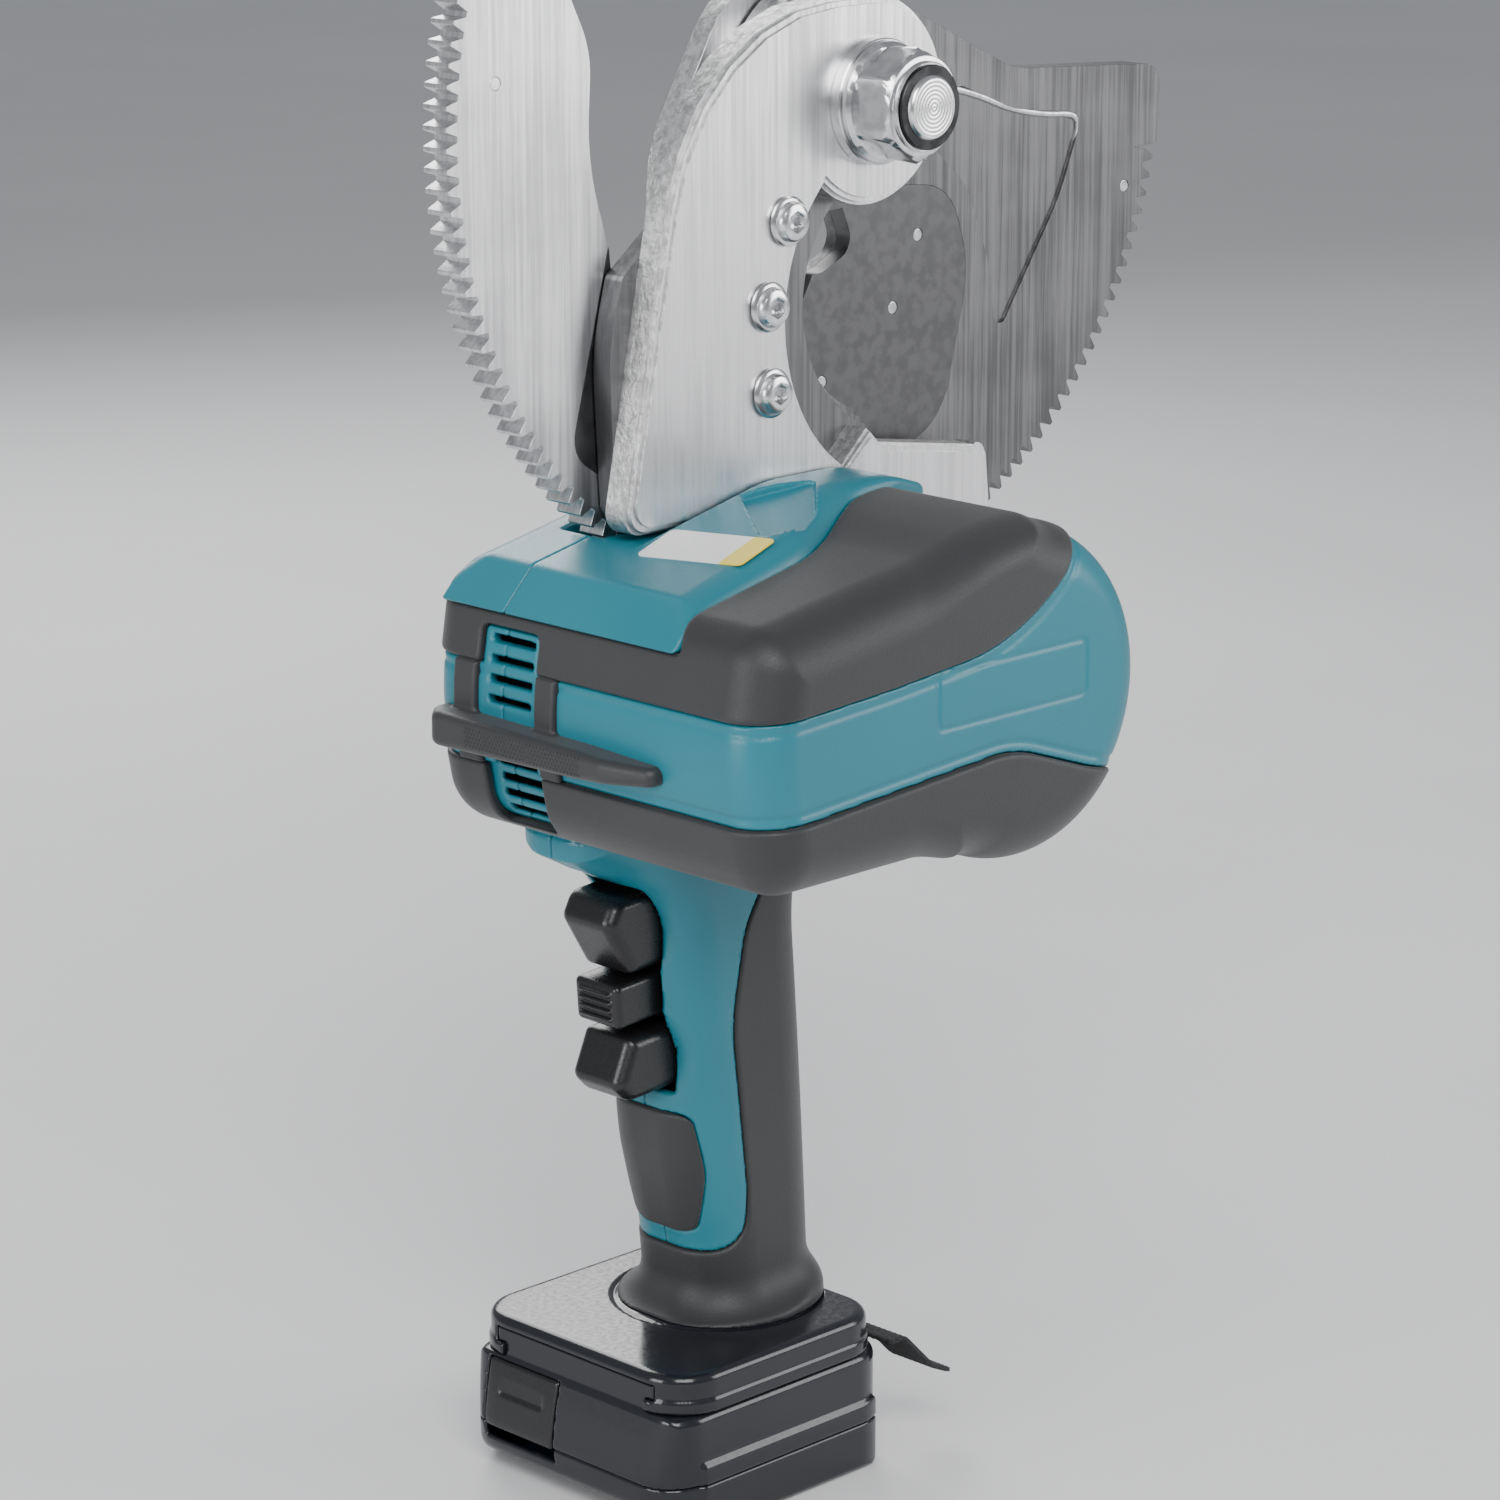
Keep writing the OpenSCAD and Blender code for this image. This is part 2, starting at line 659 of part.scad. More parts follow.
// Handle: a rounded bar that leans forward
module handle_section(grow) {
    hx = handle_hx + grow;
    hy = handle_hy + grow;
    polygon(rounded([[-hx, -hy, 16 + grow], [hx, -hy, 17 + grow], [hx, hy, 17 + grow],
        [-hx, hy, 16 + grow]]));
}
module handle_frame() {
    translate([14, 0, foot_top]) rotate([0, -handle_lean, 0]) children();
}
module handle_solid(grow, start) {
    handle_frame() translate([0, 0, start]) linear_extrude(handle_h + 12 - start) handle_section(grow);
}
module trigger_window() {
    handle_frame() box([-50, -trigger_hy - 0.4, 62], [-6, trigger_hy + 0.4, handle_h - 8]);
}
module housing_handle() {
    difference() {
        union() {
            handle_solid(-band_t, 2);
            handle_frame() translate([-20, 0, handle_h - 16]) intersection() {
                linear_extrude(28) plan_rect(-16, 12, -handle_hy + 2, handle_hy - 2, 12, 4);
                slab(-40, 40) polygon([[-16, 12], [12, 0], [12, 28], [-16, 28]]);
            }
        }
        handle_solid(-band_t - wall, -2);
        trigger_window();
        body_solid(band_t);
        box([-60, -40, 0], [60, 40, foot_top + 0.02]);
    }
}
module housing_half(side) {
    color(teal) intersection() {
        union() {
            housing_body(side);
            housing_handle();
        }
        if (side < 0) box([-150, -150, 0], [150, -0.02, 400]);
        else box([-150, 0.02, 0], [150, 150, 400]);
    }
}
module housing_right() { housing_half(-1); }
module housing_left() { housing_half(1); }

module top_cover() {
    difference() {
        intersection() {
            cover_zone(-fit);
            union() {
                slab(-60, 24) {
                    polygon(rounded([[-body_front + 4, drive_z + 10, 0],
                        [-body_front + 7, front_top - 0.5, 6],
                        [-body_front + 26, front_top + 8.5, 18], [drive_x - 22, cover_top, 40],
                        [drive_x + 4, cover_top, 40],
                        [drive_x + 28, drive_z + 37, 10], [drive_x + 28, drive_z + 10, 0]]));
                }
            }
        }
        body_solid(band_t + wall);
        head_space();
    }
}
module top_cover_right() {
    color(teal) intersection() {
        top_cover();
        box([-150, -150, 0], [150, -0.02, 400]);
    }
}
module top_cover_left() {
    color(teal) intersection() {
        top_cover();
        box([-150, 0.02, 0], [150, 150, 400]);
    }
}
module band_blank() {
    difference() {
        body_solid(0);
        body_solid(band_t - skin);
        head_space();
        handle_solid(skin - band_t, -2);
    }
}
module vent_frame() {
    box([-body_front - 9, -12, front_low + 4], [-body_front + 12, 9, drive_z + 18]);
}
module band_upper() {
    color(charcoal) difference() {
        intersection() {
            band_blank();
            slab(-100, 60) upper_band_side();
        }
        cover_zone(0);
        vent_frame();
    }
}
module band_lower() {
    color(charcoal) difference() {
        intersection() {
            band_blank();
            slab(-100, 60) lower_band_side();
        }
        vent_frame();
        handle_solid(0, -10);
        handle_frame() box([-42, -handle_hy, handle_h - 16], [0, handle_hy, handle_h + 30]);
    }
}
// Two upright bars beside the vents and the cross bar that takes knocks
module front_bumper() {
    color(charcoal) {
        difference() {
            intersection() {
                body_solid(-0.6);
                box([-80, -19, drive_z - 40], [-body_front + 12, 15, drive_z + 14]);
            }
            body_solid(band_t - skin);
            box([-90, -12.5, 0], [0, 8.5, 300]);
            slab(-100, 60) upper_band_side();
            slab(-100, 60) lower_band_side();
        }
        difference() {
            translate([0, 0, drive_z - 12]) linear_extrude(8.5) difference() {
                polygon(rounded([[-body_front - 6.5, 14, 3], [-body_front - 6.5, -44, 6],
                    [-body_front - 3, -54, 3], [-body_front + 3, -54, 0], [-body_front + 3, 22, 0],
                    [-body_front - 3, 22, 3]]));
            }
            body_solid(0);
        }
    }
}
module lamp_board() {
    color("white") box([-14, -43, front_top - 0.2], [6, -22, front_top + 1.4]);
}
// The label lies on the sloping top of the cover
cover_slope = atan((cover_top - front_top - 8.5) / (drive_x - 22 + body_front - 26));
module blank_label() {
    color("white") translate([-body_front + 26, 0, front_top + 8.5]) rotate([0, -cover_slope, 0])
        translate([8.6, -33, 0.08]) rotate([0, 0, 11]) linear_extrude(0.4)
            round_rect(-7.6, 7.6, -14.6, 14.6, 1.5);
}
front_screws = [[-44, drive_z - 3], [-10, drive_z - 2]];
rear_screws = [[60, drive_z + 22], [64, drive_z - 13]];
module housing_screw(low) {
    rod(2, low, body_far - band_t - 1.5);
    rod(3.6, body_far - band_t - 3.6, body_far - band_t - 1.2);
}
module housing_screws() {
    color(dark_steel) {
        for (p = front_screws) translate([p.x, 0, p.y]) housing_screw(2);
        for (p = rear_screws) translate([p.x, 0, p.y]) housing_screw(plate_far_far + 0.5);
    }
}
module screw_bores() {
    for (p = concat(front_screws, rear_screws)) translate([p.x, 0, p.y]) {
        rod(2.1, 0, body_far);
        rod(3.8, body_far - band_t - 3.7, body_far + 1);
    }
}
// Controller in its metal tray, in the front of the body
module control_board() {
    color("seagreen") box([-body_front + 9, -body_near + 21, drive_z - 20],
        [-body_front + 41, -25, drive_z + 9]);
}

// ---- Handle parts --------------------------------------------------------------------------

trigger_hy = 9.2;
switch_front = -7;
module trigger_shape(z0, z1, front, nose) {
    handle_frame() difference() {
        translate([0, 0, z0]) linear_extrude(z1 - z0)
            plan_rect(front, switch_front - trigger_travel - 0.8, -trigger_hy, trigger_hy, 7, 1.5);
        slab(-30, 30) polygon([[front - 5, z0 - 1], [front + nose, z0 - 1], [front - 5, z0 + nose]]);
        slab(-30, 30) polygon([[front - 5, z1 + 1], [front + nose, z1 + 1], [front - 5, z1 - nose]]);
    }
}
module upper_trigger() {
    color(black) trigger_shape(handle_h - 30, handle_h - 9.5, -38, 5);
}
module lower_trigger() {
    color(black) trigger_shape(63.5, 79, -37.5, 6);
}
module lock_button() {
    color(black) handle_frame() difference() {
        box([-36.5, -8, handle_h - 43], [switch_front - lock_travel - 0.8, 8, handle_h - 31.5]);
        for (z = [handle_h - 41.5, handle_h - 37.8, handle_h - 34.1])
            box([-38, -10, z], [-35.7, 10, z + 1.2]);
    }
}
module switch_block() {
    color(black) handle_frame() box([switch_front, -trigger_hy - 1.2, 60],
        [handle_hx - 10.5, trigger_hy + 1.2, handle_h - 6]);
}
// Border between the teal front and the rubber back, in side view
module grip_border() {
    polygon(rounded([[16, handle_h - 6, 0], [-2, handle_h - 32, 20], [-8, handle_h - 58, 60], [-6, 30, 30],
        [-10, 17.5, 8], [-60, 20, 0], [-60, -10, 0], [80, -10, 0], [80, handle_h + 40, 0],
        [20, handle_h + 40, 0]]));
}
module grip_rear() {
    color(charcoal) difference() {
        union() {
            intersection() {
                handle_solid(0, 2);
                handle_frame() slab(-60, 60) grip_border();
            }
            handle_frame() translate([-2, 0, 0]) cylinder(h = 9, r1 = 25, r2 = handle_hx - 0.5);
        }
        handle_solid(skin - band_t, -10);
        body_solid(0);
        box([-80, -60, 0], [80, 60, foot_top + 0.02]);
    }
}
module grip_front_pad() {
    color(charcoal) difference() {
        intersection() {
            handle_solid(0.4, 19);
            handle_frame() slab(-60, 60) polygon(rounded([[-40, 18, 4], [-9, 20, 4], [-11, 58, 4],
                [-40, 60, 4]]));
        }
        handle_solid(skin - band_t, -10);
        handle_frame() slab(-60, 60) grip_border();
    }
}

// ---- Foot and battery ----------------------------------------------------------------------

foot_front = battery_l / 2 - 1;
foot_back = battery_l / 2 - 3;
rail_w = 56;
neck_w = 50;
module foot_shell() {
    color(black) difference() {
        union() {
            translate([0, 0, foot_z + 0.3]) linear_extrude(foot_h - 3.3)
                round_rect(-foot_front, foot_back, -battery_w / 2, battery_w / 2, foot_corner);
            translate([0, 0, foot_top - 3]) linear_extrude(1.6)
                round_rect(-foot_front + 1, foot_back - 1, -battery_w / 2 + 1, battery_w / 2 - 1,
                    foot_corner);
            translate([0, 0, foot_top - 1.4]) linear_extrude(1.4)
                round_rect(-foot_front + 2.6, foot_back - 2.6, -battery_w / 2 + 2.6,
                    battery_w / 2 - 2.6, foot_corner - 1);
        }
        box([-60, -rail_w / 2, foot_z + 3], [foot_back - 4, rail_w / 2, foot_z + 7.2]);
        box([-60, -neck_w / 2, foot_z - 1], [foot_back - 4, neck_w / 2, foot_z + 4]);
    }
}
module terminal_block() {
    color("darkorange") translate([0, 0, foot_z]) {
        box([10, -14, 4.4], [foot_back - 4.4, 14, 7.2]);
        for (y = [-10, -3, 4]) box([2, y - 0.5, 5.4], [10, y + 0.5, 7.2]);
    }
}
// Woven tab that leaves the back of the foot and hangs down beside the battery
module strap_tab() {
    color([0.05, 0.05, 0.05]) {
        slab(-39, -24) polygon(rounded([[foot_back + 0.05, foot_z + 1.2, 0],
            [foot_back + 5, foot_z + 1.2, 3],
            [foot_back + 16, foot_z - 9, 4], [foot_back + 24, foot_z - 13, 1],
            [foot_back + 23.5, foot_z - 15, 1],
            [foot_back + 15, foot_z - 11.5, 4], [foot_back + 4, foot_z + 0.4, 2],
            [foot_back + 0.05, foot_z + 0.4, 0]]));
    }
}
cell_r = 9.2;
battery_half = battery_l / 2;
shell_split = 12;
module battery_blank(inset) {
    intersection() {
        slab(-60, 60) polygon(rounded([[-battery_half + 8 + inset, inset, 3],
            [battery_half - inset, inset, 2.5],
            [battery_half - inset, battery_h - inset, 2], [-battery_half + 1 + inset, battery_h - inset, 2],
            [-battery_half - 3 + inset, 15, 4]]));
        linear_extrude(100) plan_rect(-battery_half - 3 + inset, battery_half - inset,
            -battery_w / 2 - 1 + inset, battery_w / 2 + 1 - inset, 12, 10);
    }
}
latch_y0 = 4;
latch_y1 = 30;
module latch_pocket(grow) {
    translate([0, 0, 8]) box([-battery_half - 6, latch_y0 - grow, -grow],
        [-battery_half + 9, latch_y1 + grow, battery_h - 12 + grow]);
}
module battery_inside() {
    battery_blank(2);
}
module battery_upper_shell() {
    color(black) difference() {
        union() {
            difference() {
                battery_blank(0);
                battery_inside();
            }
            box([-foot_front + 0.2, -rail_w / 2 + gap, foot_z + 3 + gap],
                [foot_back - 20, rail_w / 2 - gap, foot_z + 6.9]);
            box([-foot_front + 0.2, -neck_w / 2 + gap, foot_z - 0.5],
                [foot_back - 20, neck_w / 2 - gap, foot_z + 3.5]);
            box([-battery_half + 10, latch_y0 - 2, shell_split],
                [-battery_half + 12, latch_y1 + 2, battery_h - 1]);
        }
        box([-80, -80, -1], [80, 80, shell_split + 0.05]);
        latch_pocket(gap);
        box([-2, -14.4, battery_h - 3], [foot_back - 10, 14.4, foot_z + 10]);
    }
}
module battery_lower_shell() {
    color(black) difference() {
        battery_blank(0);
        battery_inside();
        box([-80, -80, shell_split], [80, 80, 90]);
        latch_pocket(gap);
    }
}
module battery_cells() {
    color("royalblue") for (i = [0:2])
        translate([-14 + 18.8 * i, 0, 2 + cell_r]) rod(cell_r, -32.5, 32.5);
}
module battery_board() {
    color("seagreen") {
        box([-20, -20, 2 + 2 * cell_r + 0.2], [battery_half - 6, 20, 2 + 2 * cell_r + 1.8]);
        for (y = [-10, -3, 4]) box([6, y - 0.5, 2 + 2 * cell_r + 1.8], [14, y + 0.5, battery_h - 1]);
    }
}
module battery_latch() {
    color(black) intersection() {
        difference() {
            latch_pocket(-0.2);
            box([-battery_half + 1.5, latch_y0 + 6, 0], [-battery_half + 8, latch_y1 - 6, 18]);
        }
        slab(-60, 60) polygon(rounded([[-battery_half - 3.4, 15, 3],
            [-battery_half + 0.8, battery_h - 1, 1],
            [-battery_half + 8.4, battery_h - 1, 0], [-battery_half + 8.4, 8 + latch_travel + 0.5, 0],
            [-battery_half + 2.4, 8 + latch_travel + 0.5, 1]]));
    }
}
spring_turns = 4;
module latch_spring() {
    color(steel) translate([-battery_half + 4.8, 17, 8 + 0.4]) for (i = [0:spring_turns])
        translate([0, 0, 0.5 + i * 2]) rotate_extrude() translate([2, 0]) circle(0.45, $fn = 16);
}

frame_plate_near();
frame_plate_far();
fixed_blade();
blade_screws();
frame_spacers();
frame_bolts();
sector_gear();
movable_blade();
blade_pins();
stop_pins();
pivot_bolt();
pivot_bush();
pivot_collar();
pivot_washer();
pivot_nut();
retaining_ring();
drive_pinion();
pinion_bearings();
gear_case();
gear_case_screws();
ring_gear();
planet_carrier();
planet_pins();
planet_gear_1();
planet_gear_2();
planet_gear_3();
motor_plate();
motor_shaft();
motor_rotor();
motor_stator();
motor_can();
motor_end_bell();
motor_bearings();
cooling_fan();
housing_right();
housing_left();
top_cover_right();
top_cover_left();
band_upper();
band_lower();
front_bumper();
lamp_board();
blank_label();
housing_screws();
control_board();
upper_trigger();
lower_trigger();
lock_button();
switch_block();
grip_rear();
grip_front_pad();
foot_shell();
terminal_block();
strap_tab();
battery_upper_shell();
battery_lower_shell();
battery_cells();
battery_board();
battery_latch();
latch_spring();
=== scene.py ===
import json
import math

import bmesh
import bpy
import numpy as np
from mathutils import Matrix, Vector


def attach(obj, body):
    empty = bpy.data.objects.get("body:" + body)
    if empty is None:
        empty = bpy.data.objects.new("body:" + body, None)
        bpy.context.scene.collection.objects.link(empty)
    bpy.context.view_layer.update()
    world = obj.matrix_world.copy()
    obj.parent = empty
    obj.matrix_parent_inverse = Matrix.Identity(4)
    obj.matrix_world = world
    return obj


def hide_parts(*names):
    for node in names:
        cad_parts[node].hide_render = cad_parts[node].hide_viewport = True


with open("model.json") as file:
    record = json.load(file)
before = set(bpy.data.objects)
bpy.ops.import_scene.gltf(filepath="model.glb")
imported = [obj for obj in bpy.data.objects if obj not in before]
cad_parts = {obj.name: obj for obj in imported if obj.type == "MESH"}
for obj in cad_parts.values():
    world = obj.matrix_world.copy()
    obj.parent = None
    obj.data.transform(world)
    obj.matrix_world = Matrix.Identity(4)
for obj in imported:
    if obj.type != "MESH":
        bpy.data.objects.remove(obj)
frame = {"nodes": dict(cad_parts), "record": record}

bl_info = {
    "name": "Cable cutter",
    "version": (1, 0, 0),
    "blender": (4, 5, 0),
    "location": "3D View > Sidebar > Cutter",
    "description": "Builds the visible pieces of a battery cable cutter round its frame",
    "category": "Add Mesh",
}

MM = 0.001
COARSE = 1.0
DRIVE = (35.0, 205.0)                   # axis of the motor and the pinion, X and Z
PIVOT = (51.0, 336.12)                  # axis of the hook blade
NEAR, FAR = -86.0, 29.0                 # sides of the body
LEAN = math.radians(4.3)                # the handle leans forward
HANDLE_FOOT = (14.0, 40.0)


# ---- Shapes as distances: below 0 is inside, all in millimetres -------------------------------

def rounded(corners, steps=7):
    """Outline through (u, v, radius) corners."""
    made = []
    for i, (u, v, r) in enumerate(corners):
        q = np.array([u, v], float)
        if r <= 0:
            made.append(q)
            continue
        a = np.array(corners[i - 1][:2], float) - q
        b = np.array(corners[(i + 1) % len(corners)][:2], float) - q
        a /= np.linalg.norm(a)
        b /= np.linalg.norm(b)
        half = math.acos(max(-1, min(1, float(a @ b)))) / 2
        centre = q + (a + b) / np.linalg.norm(a + b) * r / math.sin(half)
        start = q + a * r / math.tan(half) - centre
        end = q + b * r / math.tan(half) - centre
        t0 = math.atan2(start[1], start[0])
        turn = (math.atan2(end[1], end[0]) - t0 + 3 * math.pi) % (2 * math.pi) - math.pi
        made += [centre + r * np.array([math.cos(t0 + turn * k / steps), math.sin(t0 + turn * k / steps)])
                 for k in range(steps + 1)]
    return np.array(made)


def poly(u, v, points):
    """Distance to an outline."""
    u, v = np.broadcast_arrays(u, v)
    d2 = np.full(u.shape, 1e9, u.dtype)
    sign = np.ones(u.shape, u.dtype)
    for (ax, ay), (bx, by) in zip(np.roll(points, 1, 0), points):
        ex, ey = bx - ax, by - ay
        wx, wy = u - ax, v - ay
        t = np.clip((wx * ex + wy * ey) / (ex * ex + ey * ey), 0, 1)
        qx, qy = wx - ex * t, wy - ey * t
        d2 = np.minimum(d2, qx * qx + qy * qy)
        c1, c2, c3 = v >= ay, v < by, ex * wy > ey * wx
        sign = np.where((c1 & c2 & c3) | (~c1 & ~c2 & ~c3), -sign, sign)
    return sign * np.sqrt(d2)


def meet(a, b, r=0.0):
    """What is inside both, with its edge rounded by r."""
    if r <= 0:
        return np.maximum(a, b)
    return np.minimum(-r, np.maximum(a, b)) + np.hypot(np.maximum(a + r, 0), np.maximum(b + r, 0))


def cut(a, b, r=0.0):
    return meet(a, -b, r)


def join(a, b, r=0.0):
    return -meet(-a, -b, r)


def block(x, y, z, low, high, r=0.0):
    q = [abs(c - (p + s) / 2) - (s - p) / 2 + r for c, p, s in zip((x, y, z), low, high)]
    far = np.sqrt(sum(np.maximum(c, 0) ** 2 for c in q))
    return far + np.minimum(np.maximum(np.maximum(q[0], q[1]), q[2]), 0) - r


def disc(u, v, centre, r):
    return np.hypot(u - centre[0], v - centre[1]) - r


def slab(c, low, high):
    return abs(c - (low + high) / 2) - (high - low) / 2


# ---- From a distance to a mesh -----------------------------------------------------------------

EDGES = [(a, b) for a in range(8) for b in range(a + 1, 8) if bin(a ^ b).count("1") == 1]
CORNERS = np.array([[(c >> 2) & 1, (c >> 1) & 1, c & 1] for c in range(8)])


def net(shape, low, high, pitch):
    """Points and four-sided faces where shape is 0, found block by block."""
    n = 8
    low = np.array(low, float) - 2.37 * pitch
    size = n * pitch
    count = np.ceil((np.array(high) - low + 3 * pitch) / size).astype(int)
    cells = np.indices(count).reshape(3, -1).T
    mid = low + (cells + 0.5) * size
    cells = cells[np.abs(shape(*mid.T)) < size * 1.6 + pitch]
    steps = np.arange(n + 1)
    parts = []
    for chunk in np.array_split(cells, max(1, len(cells) // 1500)):
        at = [(low[a] + (chunk[:, a, None] * n + steps) * pitch).astype(np.float32) for a in range(3)]
        d = shape(at[0][:, :, None, None], at[1][:, None, :, None], at[2][:, None, None, :])
        parts.append(np.broadcast_to(d, (len(chunk), n + 1, n + 1, n + 1)).astype(np.float32))
    d = np.concatenate(parts)
    inside = d < 0
    total = sum(inside[:, c[0]:c[0] + n, c[1]:c[1] + n, c[2]:c[2] + n].astype(np.int8) for c in CORNERS)
    b, i, j, k = np.nonzero((total > 0) & (total < 8))
    value = np.array([d[b, i + c[0], j + c[1], k + c[2]] for c in CORNERS])
    place = np.zeros((len(b), 3))
    weight = np.zeros(len(b))
    for p, q in EDGES:
        crossing = (value[p] < 0) != (value[q] < 0)
        t = np.where(crossing, value[p] / np.where(crossing, value[p] - value[q], 1), 0)
        point = CORNERS[p] + t[:, None] * (CORNERS[q] - CORNERS[p])
        place += np.where(crossing[:, None], point, 0)
        weight += crossing
    own = cells[b] * n + np.stack([i, j, k], 1)
    points = low + (own + place / weight[:, None]) * pitch
    big = int(count.max() * n + 2)
    key = ((own[:, 0] + 1) * big + own[:, 1] + 1) * big + own[:, 2] + 1
    order = np.argsort(key)
    key, points = key[order], points[order]
    faces = []
    for axis in range(3):
        a1, a2 = (axis + 1) % 3, (axis + 2) % 3
        start = inside[:, :n, :n, :n]
        end = inside[tuple([slice(None)] + [slice(1, n + 1) if a == axis else slice(0, n) for a in range(3)])]
        b, i, j, k = np.nonzero(start != end)
        at = cells[b] * n + np.stack([i, j, k], 1)
        ring = []
        for s1, s2 in ((-1, -1), (0, -1), (0, 0), (-1, 0)):
            g = at.copy()
            g[:, a1] += s1
            g[:, a2] += s2
            want = ((g[:, 0] + 1) * big + g[:, 1] + 1) * big + g[:, 2] + 1
            found = np.searchsorted(key, want)
            found[found >= len(key)] = 0
            found[key[found] != want] = -1
            ring.append(found)
        ring = np.stack(ring, 1)
        out = start[b, i, j, k]
        ring[~out] = ring[~out][:, ::-1]
        faces.append(ring)
    faces = np.concatenate(faces)
    lost = (faces < 0).any(1)
    if lost.sum() > 0.02 * len(faces):
        raise RuntimeError(f"{lost.sum()} faces of a surface run outside its blocks")
    faces = faces[~lost]
    for _ in range(3):
        grad = np.zeros_like(points)
        h = 0.04
        for a in range(3):
            step = np.zeros(3)
            step[a] = h
            up, down = points + step, points - step
            grad[:, a] = (shape(*up.T) - shape(*down.T)) / (2 * h)
        g2 = np.maximum((grad ** 2).sum(1), 0.2)
        move = -(shape(*points.T) / g2)[:, None] * grad
        reach = np.linalg.norm(move, axis=1)
        points += move * np.minimum(1, 0.5 * pitch / np.maximum(reach, 1e-9))[:, None]
    return points, faces


def mesh_from(name, points, faces):
    """Smooth mesh from arrays in millimetres."""
    mesh = bpy.data.meshes.new(name)
    faces = np.asarray(faces)
    mesh.vertices.add(len(points))
    mesh.vertices.foreach_set("co", (np.asarray(points) * MM).astype(np.float32).ravel())
    mesh.loops.add(faces.size)
    mesh.loops.foreach_set("vertex_index", faces.ravel().astype(np.int32))
    mesh.polygons.add(len(faces))
    mesh.polygons.foreach_set("loop_start", np.arange(0, faces.size, faces.shape[1], dtype=np.int32))
    mesh.polygons.foreach_set("use_smooth", np.ones(len(faces), bool))
    mesh.update(calc_edges=True)
    mesh.validate()
    return mesh


def place(name, mesh, body, finish, stands_for=(), slot=None):
    """A finished piece: in the scene, on its body, with its finish."""
    obj = bpy.data.objects.new(name, mesh)
    bpy.context.scene.collection.objects.link(obj)
    mesh.materials.clear()
    mesh.materials.append(finish)
    if stands_for:
        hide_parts(*stands_for)
    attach(obj, body)
    return obj


def baked(obj):
    """obj's evaluated mesh as a plain one, with its modifiers gone."""
    made = bpy.data.meshes.new_from_object(obj.evaluated_get(bpy.context.evaluated_depsgraph_get()))
    obj.modifiers.clear()
    obj.data = made
    return obj


LIMIT = 180000


def moulded(name, shape, low, high, pitch, body, finish, stands_for=(), slot=None):
    """A piece moulded to a distance shape."""
    points, faces = net(shape, low, high, pitch * COARSE)
    mesh = mesh_from(name, points, faces)
    bm = bmesh.new()
    bm.from_mesh(mesh)
    gaps = [e for e in bm.edges if len(e.link_faces) == 1]
    if gaps:
        bmesh.ops.holes_fill(bm, edges=gaps, sides=0)
        bmesh.ops.triangulate(bm, faces=[f for f in bm.faces if len(f.verts) > 4])
        bm.to_mesh(mesh)
    bm.free()
    obj = place(name, mesh, body, finish, stands_for, slot)
    if 2 * len(faces) > LIMIT:
        thin = obj.modifiers.new("thin", "DECIMATE")
        thin.ratio = LIMIT / (2 * len(faces))
        baked(obj)
    return obj


def turned(rings, segments=48, axis="Y", centre=(0, 0)):
    """Points and faces of a turned piece. A ring is (place along the axis, radius) or
    (place, radius, flats): then it is a hexagon of that size across flats, clipped by the radius."""
    angle = np.arange(segments) * 2 * math.pi / segments
    hexagon = 1 / np.cos((angle + math.pi / 6) % (math.pi / 3) - math.pi / 6)
    points, faces = [], []
    for ring in rings:
        r = np.full(segments, float(ring[1]))
        if len(ring) > 2:
            r = np.minimum(r, hexagon * ring[2] / 2)
        points.append(np.stack([centre[0] + r * np.cos(angle), np.full(segments, float(ring[0])),
                                centre[1] + r * np.sin(angle)], 1))
    for k in range(len(rings) - 1):
        a = k * segments + np.arange(segments)
        b = k * segments + (np.arange(segments) + 1) % segments
        faces.append(np.stack([a, a + segments, b + segments, b], 1))
    return np.concatenate(points), np.concatenate(faces)


def turned_mesh(name, rings, segments=48, centre=(0, 0), sharp=30):
    """Turned mesh with closed ends and crisp corners. The rings run towards +Y."""
    points, faces = turned(rings, segments, centre=centre)
    mesh = mesh_from(name, points, faces)
    bm = bmesh.new()
    bm.from_mesh(mesh)
    bmesh.ops.remove_doubles(bm, verts=bm.verts, dist=2e-6)
    bmesh.ops.holes_fill(bm, edges=bm.edges, sides=0)
    bmesh.ops.recalc_face_normals(bm, faces=bm.faces)
    for face in bm.faces:
        face.smooth = True
    bm.to_mesh(mesh)
    bm.free()
    mesh.set_sharp_from_angle(angle=math.radians(sharp))
    return mesh


def cad_mesh(node, width, segments=2, sharp=28):
    """The node's own mesh, merged, with faces that lie flat against each other dissolved into one."""
    mesh = frame["nodes"][node].data.copy()
    bm = bmesh.new()
    bm.from_mesh(mesh)
    bmesh.ops.remove_doubles(bm, verts=bm.verts, dist=2e-6)
    bmesh.ops.dissolve_limit(bm, angle_limit=math.radians(1.0), verts=bm.verts, edges=bm.edges)
    bm.to_mesh(mesh)
    bm.free()
    return mesh


def softened(name, node, body, finish, width, slot=None, sides=None, segments=2, sharp=28):
    """The CAD node with softened edges, as a piece that stands for it. Its walls, the faces that
    do not look along Y, may have a finish of their own."""
    obj = place(name, cad_mesh(node, width), body, finish, (node,), slot)
    bevel = obj.modifiers.new("soft", "BEVEL")
    bevel.width = width * MM
    bevel.segments = segments
    bevel.limit_method = "ANGLE"
    bevel.angle_limit = math.radians(sharp)
    bevel.use_clamp_overlap = True
    obj.data.polygons.foreach_set("use_smooth", np.ones(len(obj.data.polygons), bool))
    flat = obj.modifiers.new("flat", "WEIGHTED_NORMAL")
    flat.weight = 100
    baked(obj)
    obj.data.materials.clear()
    obj.data.materials.append(finish)
    if sides:
        obj.data.materials.append(sides)
        for face in obj.data.polygons:
            face.material_index = int(abs(face.normal.y) < 0.5)
    return obj


# ---- Shader maths ------------------------------------------------------------------------------

